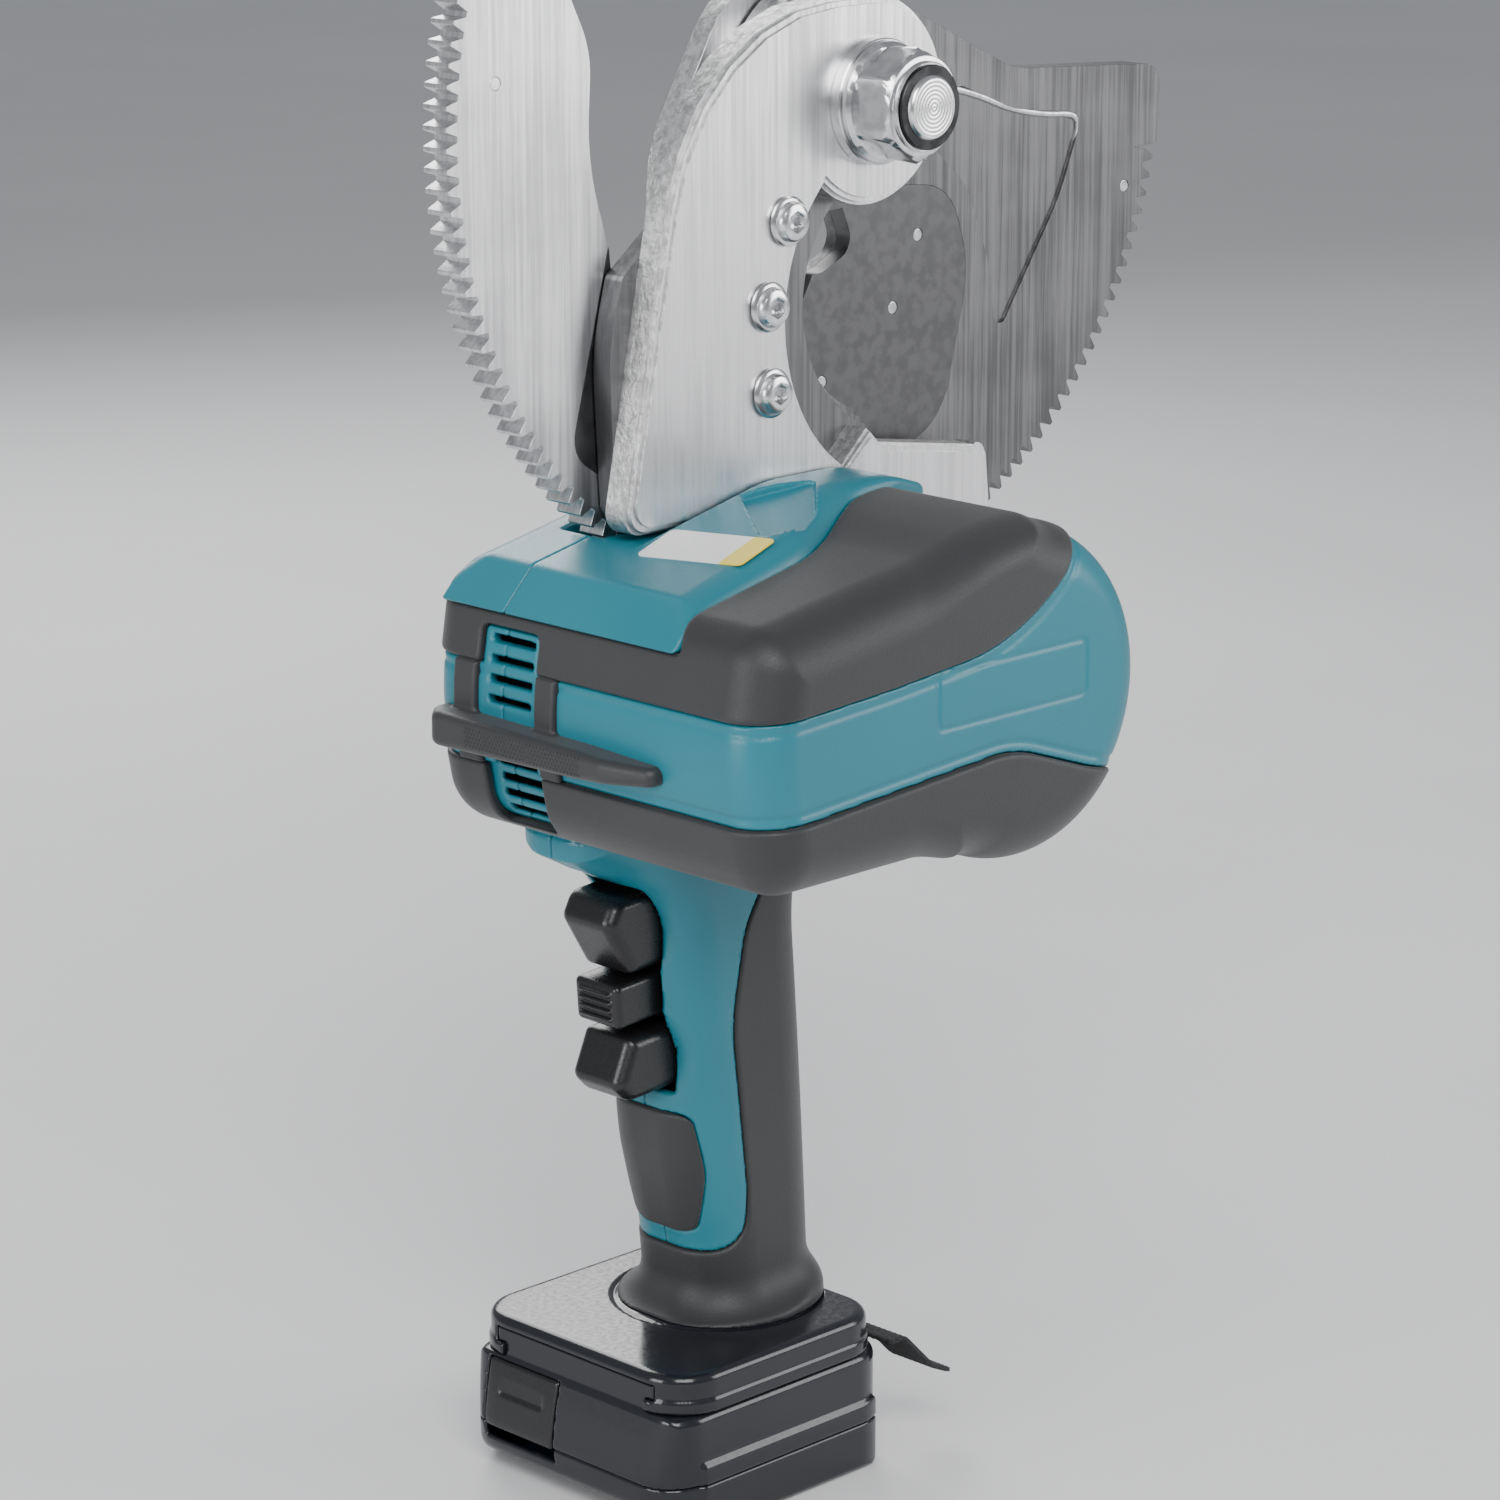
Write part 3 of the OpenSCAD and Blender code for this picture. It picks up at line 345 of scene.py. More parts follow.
class Value:
    """A number on a shader socket. Maths on it adds Math nodes."""

    def __init__(self, tree, socket):
        self.tree, self.socket = tree, socket

    def _math(self, operation, *inputs):
        return self.tree.node("ShaderNodeMath", {"operation": operation}, dict(enumerate(inputs)))

    def __add__(self, other): return self._math("ADD", self, other)
    def __radd__(self, other): return self._math("ADD", other, self)
    def __sub__(self, other): return self._math("SUBTRACT", self, other)
    def __rsub__(self, other): return self._math("SUBTRACT", other, self)
    def __mul__(self, other): return self._math("MULTIPLY", self, other)
    def __rmul__(self, other): return self._math("MULTIPLY", other, self)
    def __truediv__(self, other): return self._math("DIVIDE", self, other)
    def __gt__(self, other): return self._math("GREATER_THAN", self, other)
    def __lt__(self, other): return self._math("LESS_THAN", self, other)


class Finish:
    """A material and its node tree."""

    def __init__(self, name, **shader):
        self.material = bpy.data.materials.new(name)
        self.material.use_nodes = True
        self.nodes = self.material.node_tree.nodes
        self.links = self.material.node_tree.links
        self.shader = self.nodes["Principled BSDF"]
        for key, value in shader.items():
            self.shader.inputs[key.replace("_", " ")].default_value = value

    def node(self, kind, settings, sockets, out=0):
        """Any node: its settings first, then values or links for its sockets."""
        node = self.nodes.new(kind)
        for key, value in settings.items():
            if key == "stops":
                ramp = node.color_ramp
                while len(ramp.elements) < len(value):
                    ramp.elements.new(0.5)
                for stop, (at, colour) in zip(ramp.elements, value):
                    stop.position = at
                    stop.color = (*colour, 1) if len(colour) == 3 else colour
            else:
                setattr(node, key, value)
        for key, value in sockets.items():
            if isinstance(value, Value):
                self.links.new(value.socket, node.inputs[key])
            else:
                node.inputs[key].default_value = value
        return Value(self, node.outputs[out])

    def place(self, scale=(1, 1, 1), turn=(0, 0, 0)):
        where = self.node("ShaderNodeTexCoord", {}, {}, "Object")
        return self.node("ShaderNodeMapping", {}, {"Vector": where, "Scale": scale, "Rotation": turn})

    def axis(self, letter):
        split = self.node("ShaderNodeSeparateXYZ", {}, {0: self.node("ShaderNodeTexCoord", {}, {}, "Object")},
                          "XYZ".index(letter))
        return split

    def noise(self, scale, stretch=(1, 1, 1), turn=(0, 0, 0), detail=4.0, rough=0.55, out="Fac"):
        return self.node("ShaderNodeTexNoise", {}, {"Vector": self.place(stretch, turn), "Scale": scale,
                                                    "Detail": detail, "Roughness": rough}, out)

    def band(self, value, low, high, to_low=0.0, to_high=1.0, smooth=True):
        return self.node("ShaderNodeMapRange", {"interpolation_type": "SMOOTHSTEP" if smooth else "LINEAR"},
                         {"Value": value, "From Min": low, "From Max": high, "To Min": to_low, "To Max": to_high})

    def mix(self, factor, one, two, blend="MIX"):
        return self.node("ShaderNodeMix", {"data_type": "RGBA", "blend_type": blend},
                         {0: factor, 6: rgba(one), 7: rgba(two)}, 2)

    def bump(self, height, strength, distance, normal=None):
        sockets = {"Height": height, "Strength": strength, "Distance": distance}
        if normal:
            sockets["Normal"] = normal
        return self.node("ShaderNodeBump", {}, sockets)

    def set(self, **links):
        for key, value in links.items():
            self.links.new(value.socket, self.shader.inputs[key.replace("_", " ")])
        return self


def rgba(colour):
    return colour if isinstance(colour, Value) else (*colour[:3], 1.0)


# ---- Finishes ----------------------------------------------------------------------------------

def make_finishes(colours):
    """All the finishes, by name."""
    made = {}

    def brushed(name, light, dark, rough, turn, fine=1.0, wear=0.0):
        f = Finish(name, Metallic=1.0)
        lines = f.noise(900 * fine, (1.0, 1.0, 0.02), turn, 6.0, 0.62)
        broad = f.noise(150, (1.0, 1.0, 0.06), turn, 3.0)
        cloud = f.noise(28, detail=3.0)
        shade = f.band(lines * 0.55 + broad * 0.3 + cloud * 0.15, 0.38, 0.62)
        f.set(Base_Color=f.mix(shade, dark, light),
              Roughness=f.band(shade, 0.0, 1.0, rough + 0.10, rough - 0.05),
              Normal=f.bump(lines, 0.10 + wear, 0.0004))
        made[name] = f.material
        return f

    tilt = (0, math.radians(14), 0)
    brushed("bright ground plate", (0.80, 0.80, 0.81), (0.56, 0.56, 0.57), 0.34, tilt)
    brushed("dark blade steel", (0.19, 0.19, 0.195), (0.12, 0.12, 0.125), 0.40, (0, math.radians(-30), 0), 0.7)
    brushed("machined gear steel", (0.60, 0.60, 0.61), (0.42, 0.42, 0.43), 0.32, (0, math.radians(40), 0))

    f = Finish("hook plate steel", Metallic=1.0)
    x = f.axis("X")
    lines = f.noise(850, (1.0, 1.0, 0.02), (0, math.radians(20), 0), 6.0, 0.62)
    grain = f.noise(1500, detail=2.0)
    cloud = f.noise(26, detail=3.0)
    wing = f.band(x, 0.030, 0.052)
    shade = f.band(lines * 0.6 + cloud * 0.4, 0.38, 0.62)
    bright = f.mix(shade, (0.52, 0.52, 0.53), (0.80, 0.80, 0.81))
    dark = f.mix(shade, (0.10, 0.10, 0.103), (0.19, 0.19, 0.193))
    f.set(Base_Color=f.mix(wing, bright, dark), Roughness=f.band(wing, 0, 1, 0.33, 0.46),
          Normal=f.bump(lines * (1 - wing * 0.6) + grain * (wing * 0.5), 0.12, 0.0004))
    made["hook plate steel"] = f.material

    f = Finish("cast plate edge", Metallic=1.0)
    lumps = f.noise(420, detail=5.0, rough=0.7)
    f.set(Base_Color=f.mix(f.band(lumps, 0.35, 0.65), (0.42, 0.42, 0.42), (0.78, 0.78, 0.78)),
          Roughness=f.band(lumps, 0.3, 0.7, 0.5, 0.36), Normal=f.bump(lumps, 0.5, 0.0012))
    made["cast plate edge"] = f.material

    def plated(name, light, dark, rough):
        f = Finish(name, Metallic=1.0)
        spots = f.noise(260, detail=3.0)
        f.set(Base_Color=f.mix(f.band(spots, 0.4, 0.6), dark, light),
              Roughness=f.band(spots, 0.3, 0.7, rough - 0.04, rough + 0.06))
        made[name] = f.material

    plated("plated steel", (0.78, 0.78, 0.79), (0.66, 0.66, 0.67), 0.20)
    plated("smooth insert steel", (0.120, 0.120, 0.123), (0.104, 0.104, 0.107), 0.36)
    plated("blackened steel", (0.05, 0.05, 0.052), (0.03, 0.03, 0.032), 0.35)
    plated("dark screw steel", (0.16, 0.16, 0.165), (0.10, 0.10, 0.105), 0.32)
    plated("sintered bronze", (0.56, 0.38, 0.20), (0.44, 0.29, 0.15), 0.42)
    plated("cast alloy", (0.46, 0.45, 0.44), (0.36, 0.355, 0.35), 0.5)

    f = Finish("turned pin face", Metallic=1.0)
    where = f.node("ShaderNodeMapping", {}, {"Vector": f.node("ShaderNodeTexCoord", {}, {}, "Object"),
                                             "Location": (-PIVOT[0] * MM, 0, -PIVOT[1] * MM)})
    rings = f.node("ShaderNodeTexWave", {"wave_type": "RINGS", "rings_direction": "Y"},
                   {"Vector": where, "Scale": 320.0, "Distortion": 0.6, "Detail": 1.0}, "Fac")
    f.set(Base_Color=f.mix(rings, (0.62, 0.62, 0.63), (0.84, 0.84, 0.85)), Roughness=f.band(rings, 0, 1, 0.3, 0.2),
          Normal=f.bump(rings, 0.2, 0.0003))
    made["turned pin face"] = f.material

    def plastic(name, colour, rough, grain, strength, spread=0.06, **shader):
        f = Finish(name, **shader)
        fine = f.noise(grain, detail=2.0, rough=0.6)
        cloud = f.noise(14, detail=2.0)
        shade = f.band(cloud, 0.3, 0.7)
        low = tuple(c * (1 - spread) for c in colour)
        high = tuple(min(1, c * (1 + spread)) for c in colour)
        f.set(Base_Color=f.mix(shade, low, high), Roughness=f.band(fine, 0.3, 0.7, rough - 0.04, rough + 0.05),
              Normal=f.bump(fine, strength, 0.0003))
        made[name] = f.material

    plastic("teal moulding", colours["teal"], 0.36, 1900, 0.10, 0.05, IOR=1.48)
    plastic("charcoal rubber", colours["charcoal"], 0.52, 2400, 0.22, 0.10, IOR=1.5, Sheen_Weight=0.12,
            Sheen_Roughness=0.5)
    plastic("black moulding", colours["black"], 0.30, 1800, 0.06, 0.10, IOR=1.5)
    plastic("black gloss", colours["gloss"], 0.17, 700, 0.025, 0.10, IOR=1.5)
    plastic("green board", (0.03, 0.20, 0.09), 0.4, 600, 0.1)
    plastic("copper winding", (0.55, 0.26, 0.12), 0.35, 900, 0.2, 0.15, Metallic=1.0)
    plastic("cell wrap", (0.05, 0.20, 0.35), 0.35, 900, 0.05)
    plastic("controller tray", (0.40, 0.41, 0.42), 0.42, 700, 0.15, 0.08, Metallic=1.0)

    f = Finish("blank label", Roughness=0.28)
    where = f.node("ShaderNodeUVMap", {"uv_map": "label"}, {})
    u = f.node("ShaderNodeSeparateXYZ", {}, {0: where}, 0)
    speck = f.noise(2200, detail=1.0)
    paper = f.mix(f.band(speck, 0.3, 0.7), (0.78, 0.78, 0.78), (0.84, 0.84, 0.84))
    f.set(Base_Color=f.mix(f.band(u, 0.795, 0.80, smooth=False), paper, (0.86, 0.67, 0.06)))
    made["blank label"] = f.material

    f = Finish("woven strap", Roughness=0.9)
    where = f.node("ShaderNodeUVMap", {"uv_map": "weave"}, {})
    weave = f.node("ShaderNodeTexChecker", {}, {"Vector": where, "Scale": 26.0}, "Fac")
    fuzz = f.noise(1500, detail=4.0)
    f.set(Base_Color=f.mix(f.band(fuzz, 0.3, 0.7), (0.006, 0.006, 0.007), (0.035, 0.035, 0.037)),
          Normal=f.bump(weave * 0.6 + fuzz * 0.6, 0.8, 0.0006))
    made["woven strap"] = f.material

    f = Finish("pale floor", Roughness=0.75)
    f.set(Base_Color=f.mix(f.band(f.noise(3.0), 0.3, 0.7), (0.71, 0.71, 0.72), (0.74, 0.74, 0.75)))
    made["pale floor"] = f.material
    return made


SLOT_FINISH = {
    "steel_plate": "bright ground plate", "blade_steel": "dark blade steel", "hardware": "plated steel",
    "dark_ring": "blackened steel", "gear_steel": "machined gear steel", "bronze": "sintered bronze",
    "copper_winding": "copper winding", "gear_case_cast": "cast alloy", "teal_plastic": "teal moulding",
    "charcoal_rubber": "charcoal rubber", "black_plastic": "black moulding", "black_gloss": "black gloss",
    "board": "green board", "controller_tray": "controller tray", "label_white": "blank label",
    "woven_black": "woven strap", "cell_wrap": "cell wrap",
}


# ---- Shapes of the body ------------------------------------------------------------------------

BODY_SIDE = rounded([(-52.5, 171, 13), (-59, 203, 60), (-54.0, 233, 10), (16, 243.5, 60), (35, 244.0, 0),
                     (35, 205, 0), (11, 171, 0)], 10)
UPPER_EDGE = rounded([(-80, 212, 0), (-15, 216, 60), (28, 220, 60), (60, 249, 0), (60, 275, 0), (-80, 275, 0)], 10)
LOWER_EDGE = rounded([(-80, 187.5, 0), (-40, 189.5, 40), (26, 194, 40), (52, 185, 30), (90, 175, 0),
                      (90, 100, 0), (-80, 100, 0)], 10)


def body_shape(x, y, z):
    side = join(disc(x, z, DRIVE, 40.5), poly(x, z, BODY_SIDE), 9)
    return meet(side, slab(y, NEAR, FAR), 13)


COVER_PLAN = rounded([(-66, -58, 0), (-8, -51, 34), (24, -35, 22), (56, -31, 8), (56, 22, 8), (-66, 22, 0)], 10)
COVER_SIDE = rounded([(-57, 226, 0), (-47, 236.3, 4), (-31.5, 239.5, 18), (13, 249.5, 40), (39, 249.5, 40),
                      (63, 242, 10), (63, 226, 0)], 8)


def cover_shape(x, y, z, grow=0.0):
    """The raised teal top: a plan outline under a sloping profile, with a chamfered long edge."""
    plan = poly(x, y, COVER_PLAN) - grow
    top = poly(x, z, COVER_SIDE) - grow
    slope = (plan + 1.0) * 0.62 + (z - 239.2 - (x + 20) * 0.19) * 0.78
    return meet(meet(plan, top, 1.5), slope - grow, 2.5)


def head_space(x, y, z):
    """Room for the swinging blade and the frame plates."""
    u, v = x - PIVOT[0], z - PIVOT[1]
    sweep = meet(disc(x, z, PIVOT, 124.5), slab(y, -3.5, 10.5))
    blade = meet(np.maximum(slab(u, -84, 44), slab(v, -96, -66)), slab(y, -7.5, -0.4))
    under = meet(np.maximum(slab(u, -52, 14), slab(v, -131, -70)), slab(y, -7.5, -0.4))
    plate_near = meet(np.maximum(slab(u, -83, 45.3), slab(v, -96, -60)), slab(y, -15.8, -5.9))
    plate_low = meet(np.maximum(slab(u, -53, 19), slab(v, -131, -60)), slab(y, -15.8, -5.9))
    plate_far = meet(np.maximum(slab(u, -52, 35), slab(v, -131, -51)), slab(y, 7.7, 14.9))
    case = meet(disc(x, z, DRIVE, 36.6), slab(y, -49, -6))
    back = meet(disc(x, z, DRIVE, 35), slab(y, -7, 19))
    made = sweep
    for part in (blade, under, plate_near, plate_low, plate_far, case, back):
        made = np.minimum(made, part)
    return made


def cover_solid(x, y, z):
    made = np.maximum(cover_shape(x, y, z), -(body_shape(x, y, z) + 3.6))
    return cut(made, head_space(x, y, z), 0.6)


def handle_place(x, z):
    dx, dz = x - HANDLE_FOOT[0], z - HANDLE_FOOT[1]
    return dx * math.cos(LEAN) + dz * math.sin(LEAN), -dx * math.sin(LEAN) + dz * math.cos(LEAN)


HANDLE_SIDE = rounded([(-18, -14, 0), (-18, 10, 30), (-18.2, 22, 30), (-21.8, 44, 60), (-22.5, 63, 20),
                       (-24.5, 76, 20), (-24.5, 106, 14), (-33, 119, 12), (-47, 128, 0), (-47, 150, 0),
                       (32, 150, 0), (29, 128, 20), (22, 100, 60), (21.4, -14, 0)], 9)
GRIP_EDGE = rounded([(17, 127, 0), (-1.5, 101, 22), (-7.8, 78, 45), (-5.8, 34, 30), (-7.0, 18.5, 9), (-60, 20.5, 0),
                     (-60, -20, 0), (80, -20, 0), (80, 160, 0), (26, 160, 0)], 10)
PAD_EDGE = rounded([(-45, 23.5, 4), (-16.8, 23.5, 3.5), (-16.4, 40, 30), (-18.9, 57, 3.5), (-45, 57, 4)], 8)


def handle_shape(hx, y, hz):
    bulge = 17.9 + 0.6 * np.sin((hz - 10) / 115 * math.pi)
    return meet(poly(hx, hz, HANDLE_SIDE), abs(y) - bulge, 14.5)


def finger_room(hx, y, hz):
    """Hollows in front of the two triggers."""
    upper = disc(hx, hz, (-37.0, 104.5), 15.0)
    lower = disc(hx, hz, (-34.5, 71.0), 15.0)
    return np.minimum(upper, lower)


VENTS_UP = [(-58 - 20, -9.5, 204.2 + 4.7 * i) for i in range(4)]
VENTS_LOW = [(-58 - 20, -9.5, 176.8 + 4.0 * i) for i in range(4)]


def vent_slots(x, y, z):
    made = None
    for low in VENTS_UP + VENTS_LOW:
        slot = block(x, y, z, low, (-42, 5.0, low[2] + 2.0), 0.5)
        made = slot if made is None else np.minimum(made, slot)
    return made


def vent_room(x, y, z, grow=0.0):
    return block(x, y, z, (-90, -11.5 - grow, 174 - grow), (-40, 8.0 + grow, 222.5 + grow), 2.0)


def teal_body(x, y, z):
    body = body_shape(x, y, z)
    upper, lower = poly(x, z, UPPER_EDGE), poly(x, z, LOWER_EDGE)
    cover = cover_shape(x, y, z)
    # a fine valley beside each rubber edge and round the blank panel on the near side
    edge = np.minimum(np.abs(upper - 2.6), np.abs(lower - 2.6))
    panel = np.abs(plan_box(x, z, (0, 203.2), (51, 216.4), 2.0))
    made = body + 1.0 + 0.40 * np.exp(-(edge / 0.7) ** 2) + np.where(y < -70, 0.40, 0) * np.exp(-(panel / 0.6) ** 2)
    under = np.minimum(np.minimum(upper, lower) - 0.35, 9.0)
    window = vent_room(x, y, z)
    under = np.maximum(under, -(window + 0.6))
    made = np.maximum(made, np.minimum(-under, body + 2.5))
    made = np.maximum(made, -(cover - 0.35))
    made = np.maximum(made, -vent_slots(x, y, z))
    return made


def teal_handle(x, y, z):
    hx, hz = handle_place(x, z)
    made = handle_shape(hx, y, hz) + 0.3
    edge, pad = poly(hx, hz, GRIP_EDGE), poly(hx, hz, PAD_EDGE)
    made = cut(made, finger_room(hx, y, hz), 3.0)
    under = np.minimum(edge, pad)
    made = np.maximum(made, np.minimum(-(under - 0.35), made + 2.2))
    return made


def window_room(x, y, z):
    hx, hz = handle_place(x, z)
    return block(hx, y, hz, (-60, -9.5, 62), (-5, 9.5, 117), 1.0)


def teal_shape(x, y, z):
    made = join(teal_body(x, y, z), teal_handle(x, y, z), 3.0)
    made = np.maximum(made, -window_room(x, y, z))
    body, (hx, hz) = body_shape(x, y, z), handle_place(x, z)
    lower = poly(x, z, LOWER_EDGE)
    under = np.maximum(lower - 0.35, -(body + 2.5))
    collar = np.maximum(under, body - 1.5)
    made = np.maximum(made, -np.maximum(collar, -(handle_shape(hx, y, hz) + 0.9)))
    hollow = np.minimum(body + 4.0, np.maximum(handle_shape(hx, y, hz) + 3.2, 20 - hz))
    made = np.maximum(made, -hollow)
    made = np.maximum(made, -head_space(x, y, z))
    return np.maximum(made, 43.0 - z)


def band_shape(x, y, z, edge):
    body = body_shape(x, y, z)
    made = meet(meet(body, edge, 0.9), -(body + 2.3))
    hx, hz = handle_place(x, z)
    made = cut(made, cover_shape(x, y, z, 0.35), 0.7)
    made = cut(made, vent_room(x, y, z), 0.7)
    made = np.maximum(made, -(handle_shape(hx, y, hz) - 0.2))
    return np.maximum(made, -(head_space(x, y, z)))


def bar_shape(x, y, z):
    """Cross bar and the two uprights on the front."""
    bar_plan = rounded([(-64.2, 17, 4), (-64.2, -40, 10), (-60, -53, 3), (-50, -53, 0), (-50, 21, 0), (-60, 21, 3)], 8)
    tall = np.interp(np.asarray(y), [-54, -30, 22], [2.2, 3.4, 4.4]).astype(np.float32)
    body = body_shape(x, y, z)
    bar = meet(poly(x, y, bar_plan), abs(z - 197.0) - tall, 2.0)
    post = np.minimum(slab(y, 8.3, 16), slab(y, -18.5, -11.8))
    posts = meet(meet(body - 0.4, post, 0.9), slab(z, 184, 224), 0.9)
    made = join(bar, posts, 1.2)
    clear = np.minimum(poly(x, z, UPPER_EDGE), poly(x, z, LOWER_EDGE)) - 0.15
    made = np.maximum(made, -clear)
    return np.maximum(made, -(body + 2.0))


# ---- Shapes of the handle, triggers, foot and battery ------------------------------------------

def grip_shape(x, y, z):
    hx, hz = handle_place(x, z)
    bar = handle_shape(hx, y, hz)
    edge = poly(hx, hz, GRIP_EDGE)
    skirt = meet(disc(hx, y, (-1.5, 0), 24.9), slab(hz, -6, 1.6), 0.8)
    made = join(bar, skirt, 10.0)
    edge = np.minimum(edge, hz - 9)
    made = meet(made, edge, 0.8)
    hollow = np.maximum(bar + 2.6, 5 - hz)
    made = np.maximum(made, -hollow)
    made = np.maximum(made, -(body_shape(x, y, z) - 0.1))
    return np.maximum(made, 40.15 - z)


def pad_shape(x, y, z):
    hx, hz = handle_place(x, z)
    made = meet(handle_shape(hx, y, hz) - 0.35, poly(hx, hz, PAD_EDGE), 0.9)
    return np.maximum(made, -(handle_shape(hx, y, hz) + 1.8))


UPPER_TRIGGER = rounded([(-34.5, 115.4, 4.5), (-38.2, 109.5, 3), (-31.0, 95.4, 2.0), (-12.8, 95.2, 2),
                         (-12.8, 115.4, 2)], 7)
LOWER_TRIGGER = rounded([(-32.5, 79.6, 2.2), (-38.2, 68.6, 2.6), (-34.0, 63.6, 4.5), (-12.8, 63.2, 2),
                         (-12.8, 79.6, 2)], 7)


def trigger_shape(outline, hollow):
    def shape(x, y, z):
        hx, hz = handle_place(x, z)
        made = meet(poly(hx, hz, outline), abs(y) - 9.0, 3.2)
        return cut(made, disc(hx, hz, *hollow), 2.0)
    return shape


def lock_shape(x, y, z):
    hx, hz = handle_place(x, z)
    made = block(hx, y, hz, (-35.6, -7.6, 82.4), (-12.3, 7.6, 93.6), 1.6)
    for k in range(4):
        rib = block(hx, y, hz, (-36.5, -5.6, 84.3 + 2.1 * k), (-34.2, 5.6, 85.3 + 2.1 * k), 0.45)
        made = join(made, rib, 0.3)
    return made


def plan_box(x, y, low, high, r):
    q = [abs(c - (p + s) / 2) - (s - p) / 2 + r for c, p, s in zip((x, y), low, high)]
    return np.hypot(np.maximum(q[0], 0), np.maximum(q[1], 0)) + np.minimum(np.maximum(q[0], q[1]), 0) - r


def rails(x, y, z, grow):
    rail = block(x, y, z, (-60, -28 - grow, 33 - grow), (31, 28 + grow, 37.1 + grow), 0.3)
    neck = block(x, y, z, (-60, -25 - grow, 20), (31, 25 + grow, 34), 0.3)
    return np.minimum(rail, neck)


def foot_shape(x, y, z):
    plan = plan_box(x, y, (-37, -37.6), (35, 37.6), 13)
    made = meet(plan, slab(z, 30.2, 40), 2.3)
    step = meet(plan_box(x, y, (-37, -37.6), (35, 37.6), 13) - 0.5, slab(z, 30.2, 33.4), 0.6)
    made = join(made, step, 0.8)
    made = cut(made, np.maximum(disc(y, z, (1.5, 31.0), 3.2), abs(x + 37.0) - 1.2), 0.3)
    ring = np.abs(disc(x, y, (12.4, 0), 25.8)) - 0.4
    made = np.maximum(made, -np.maximum(ring, 39.5 - z))
    return np.maximum(made, -rails(x, y, z, 0.0))


BATTERY_SIDE = rounded([(-30, 0, 4), (37.6, 0, 3), (37.6, 29.9, 2), (-37.2, 29.9, 1.6), (-41.0, 13.5, 5),
                        (-38.5, 4.5, 5)], 7)


def battery_shape(x, y, z):
    plan = plan_box(x, y, (-41, -37.4), (37.6, 37.4), 12.5)
    made = meet(plan, poly(x, z, BATTERY_SIDE), 2.6)
    skirt = meet(block(x, y, z, (-30, -38.5, 0), (32, 38.5, 17.4), 1.4), plan - 1.1)
    made = join(made, skirt, 0.9)
    arch = block(x, y, z, (-60, -27, -20), (-24, 27, 3.4), 3.0)
    return np.maximum(cut(made, arch, 1.2), 0.02 - z)


LATCH_LOW, LATCH_HIGH = (-46, 4.3, 8.2), (-29.4, 29.7, 29.0)


def battery_upper(x, y, z):
    made = battery_shape(x, y, z)
    hollow = np.maximum(made + 2.2, -9.0)
    made = np.maximum(made, -hollow)
    slot = rails(x, y, z, -0.3)
    slot = np.maximum(slot, np.maximum(x - 14.8, -36.4 - x))
    made = np.minimum(made, np.maximum(slot, 27.5 - z))
    made = np.maximum(made, -block(x, y, z, LATCH_LOW, LATCH_HIGH, 0.6))
    made = np.maximum(made, -block(x, y, z, (-2, -14.4, 27), (25, 14.4, 40), 0.5))
    return np.maximum(made, 12.05 - z)


def battery_lower(x, y, z):
    made = battery_shape(x, y, z)
    made = np.maximum(made, -(made + 2.2))
    made = np.maximum(made, -block(x, y, z, LATCH_LOW, LATCH_HIGH, 0.6))
    return np.maximum(made, z - 11.95)


def latch_shape(x, y, z):
    made = meet(battery_shape(x, y, z), block(x, y, z, (-50, 4.7, 11.6), (-30.0, 29.3, 28.7), 0.8), 0.5)
    made = cut(made, block(x, y, z, (-60, 9.0, 20.4), (-38.6, 25.0, 24.6), 1.0), 0.6)
    return np.maximum(made, -block(x, y, z, (-36.4, 10, 5), (-30.2, 24, 18), 0.5))


# ---- Metal plates ------------------------------------------------------------------------------

def outline_loops(node, y):
    """Closed outlines, X and Z, of the node's flat face at that Y. Solid lies on their left."""
    bm = bmesh.new()
    bm.from_mesh(frame["nodes"][node].data)
    bmesh.ops.remove_doubles(bm, verts=bm.verts, dist=2e-6)
    flat = [f for f in bm.faces if abs(f.normal.y) > 0.99 and abs(f.calc_center_median().y / MM - y) < 0.02]
    step = {}
    for face in flat:
        flip = face.normal.y > 0
        for loop in face.loops:
            if sum(other in flat for other in loop.edge.link_faces) == 1:
                a, b = loop.vert, loop.link_loop_next.vert
                if flip:
                    a, b = b, a
                step[a.index] = (b.index, (a.co.x / MM, a.co.z / MM))
    bm.free()
    loops = []
    while step:
        start = next(iter(step))
        at, points = start, []
        while at in step:
            following, point = step.pop(at)
            points.append(point)
            at = following
        loops.append(np.array(points))
    return loops


def pulled_in(points, by):
    """An outline moved into the solid by a distance."""
    ahead = np.roll(points, -1, 0) - points
    ahead /= np.maximum(np.linalg.norm(ahead, axis=1, keepdims=True), 1e-9)
    behind = np.roll(ahead, 1, 0)
    normal = np.stack([-(ahead[:, 1] + behind[:, 1]), ahead[:, 0] + behind[:, 0]], 1)
    length = np.maximum((normal ** 2).sum(1, keepdims=True), 0.8)
    return points + normal * 2 / length * by


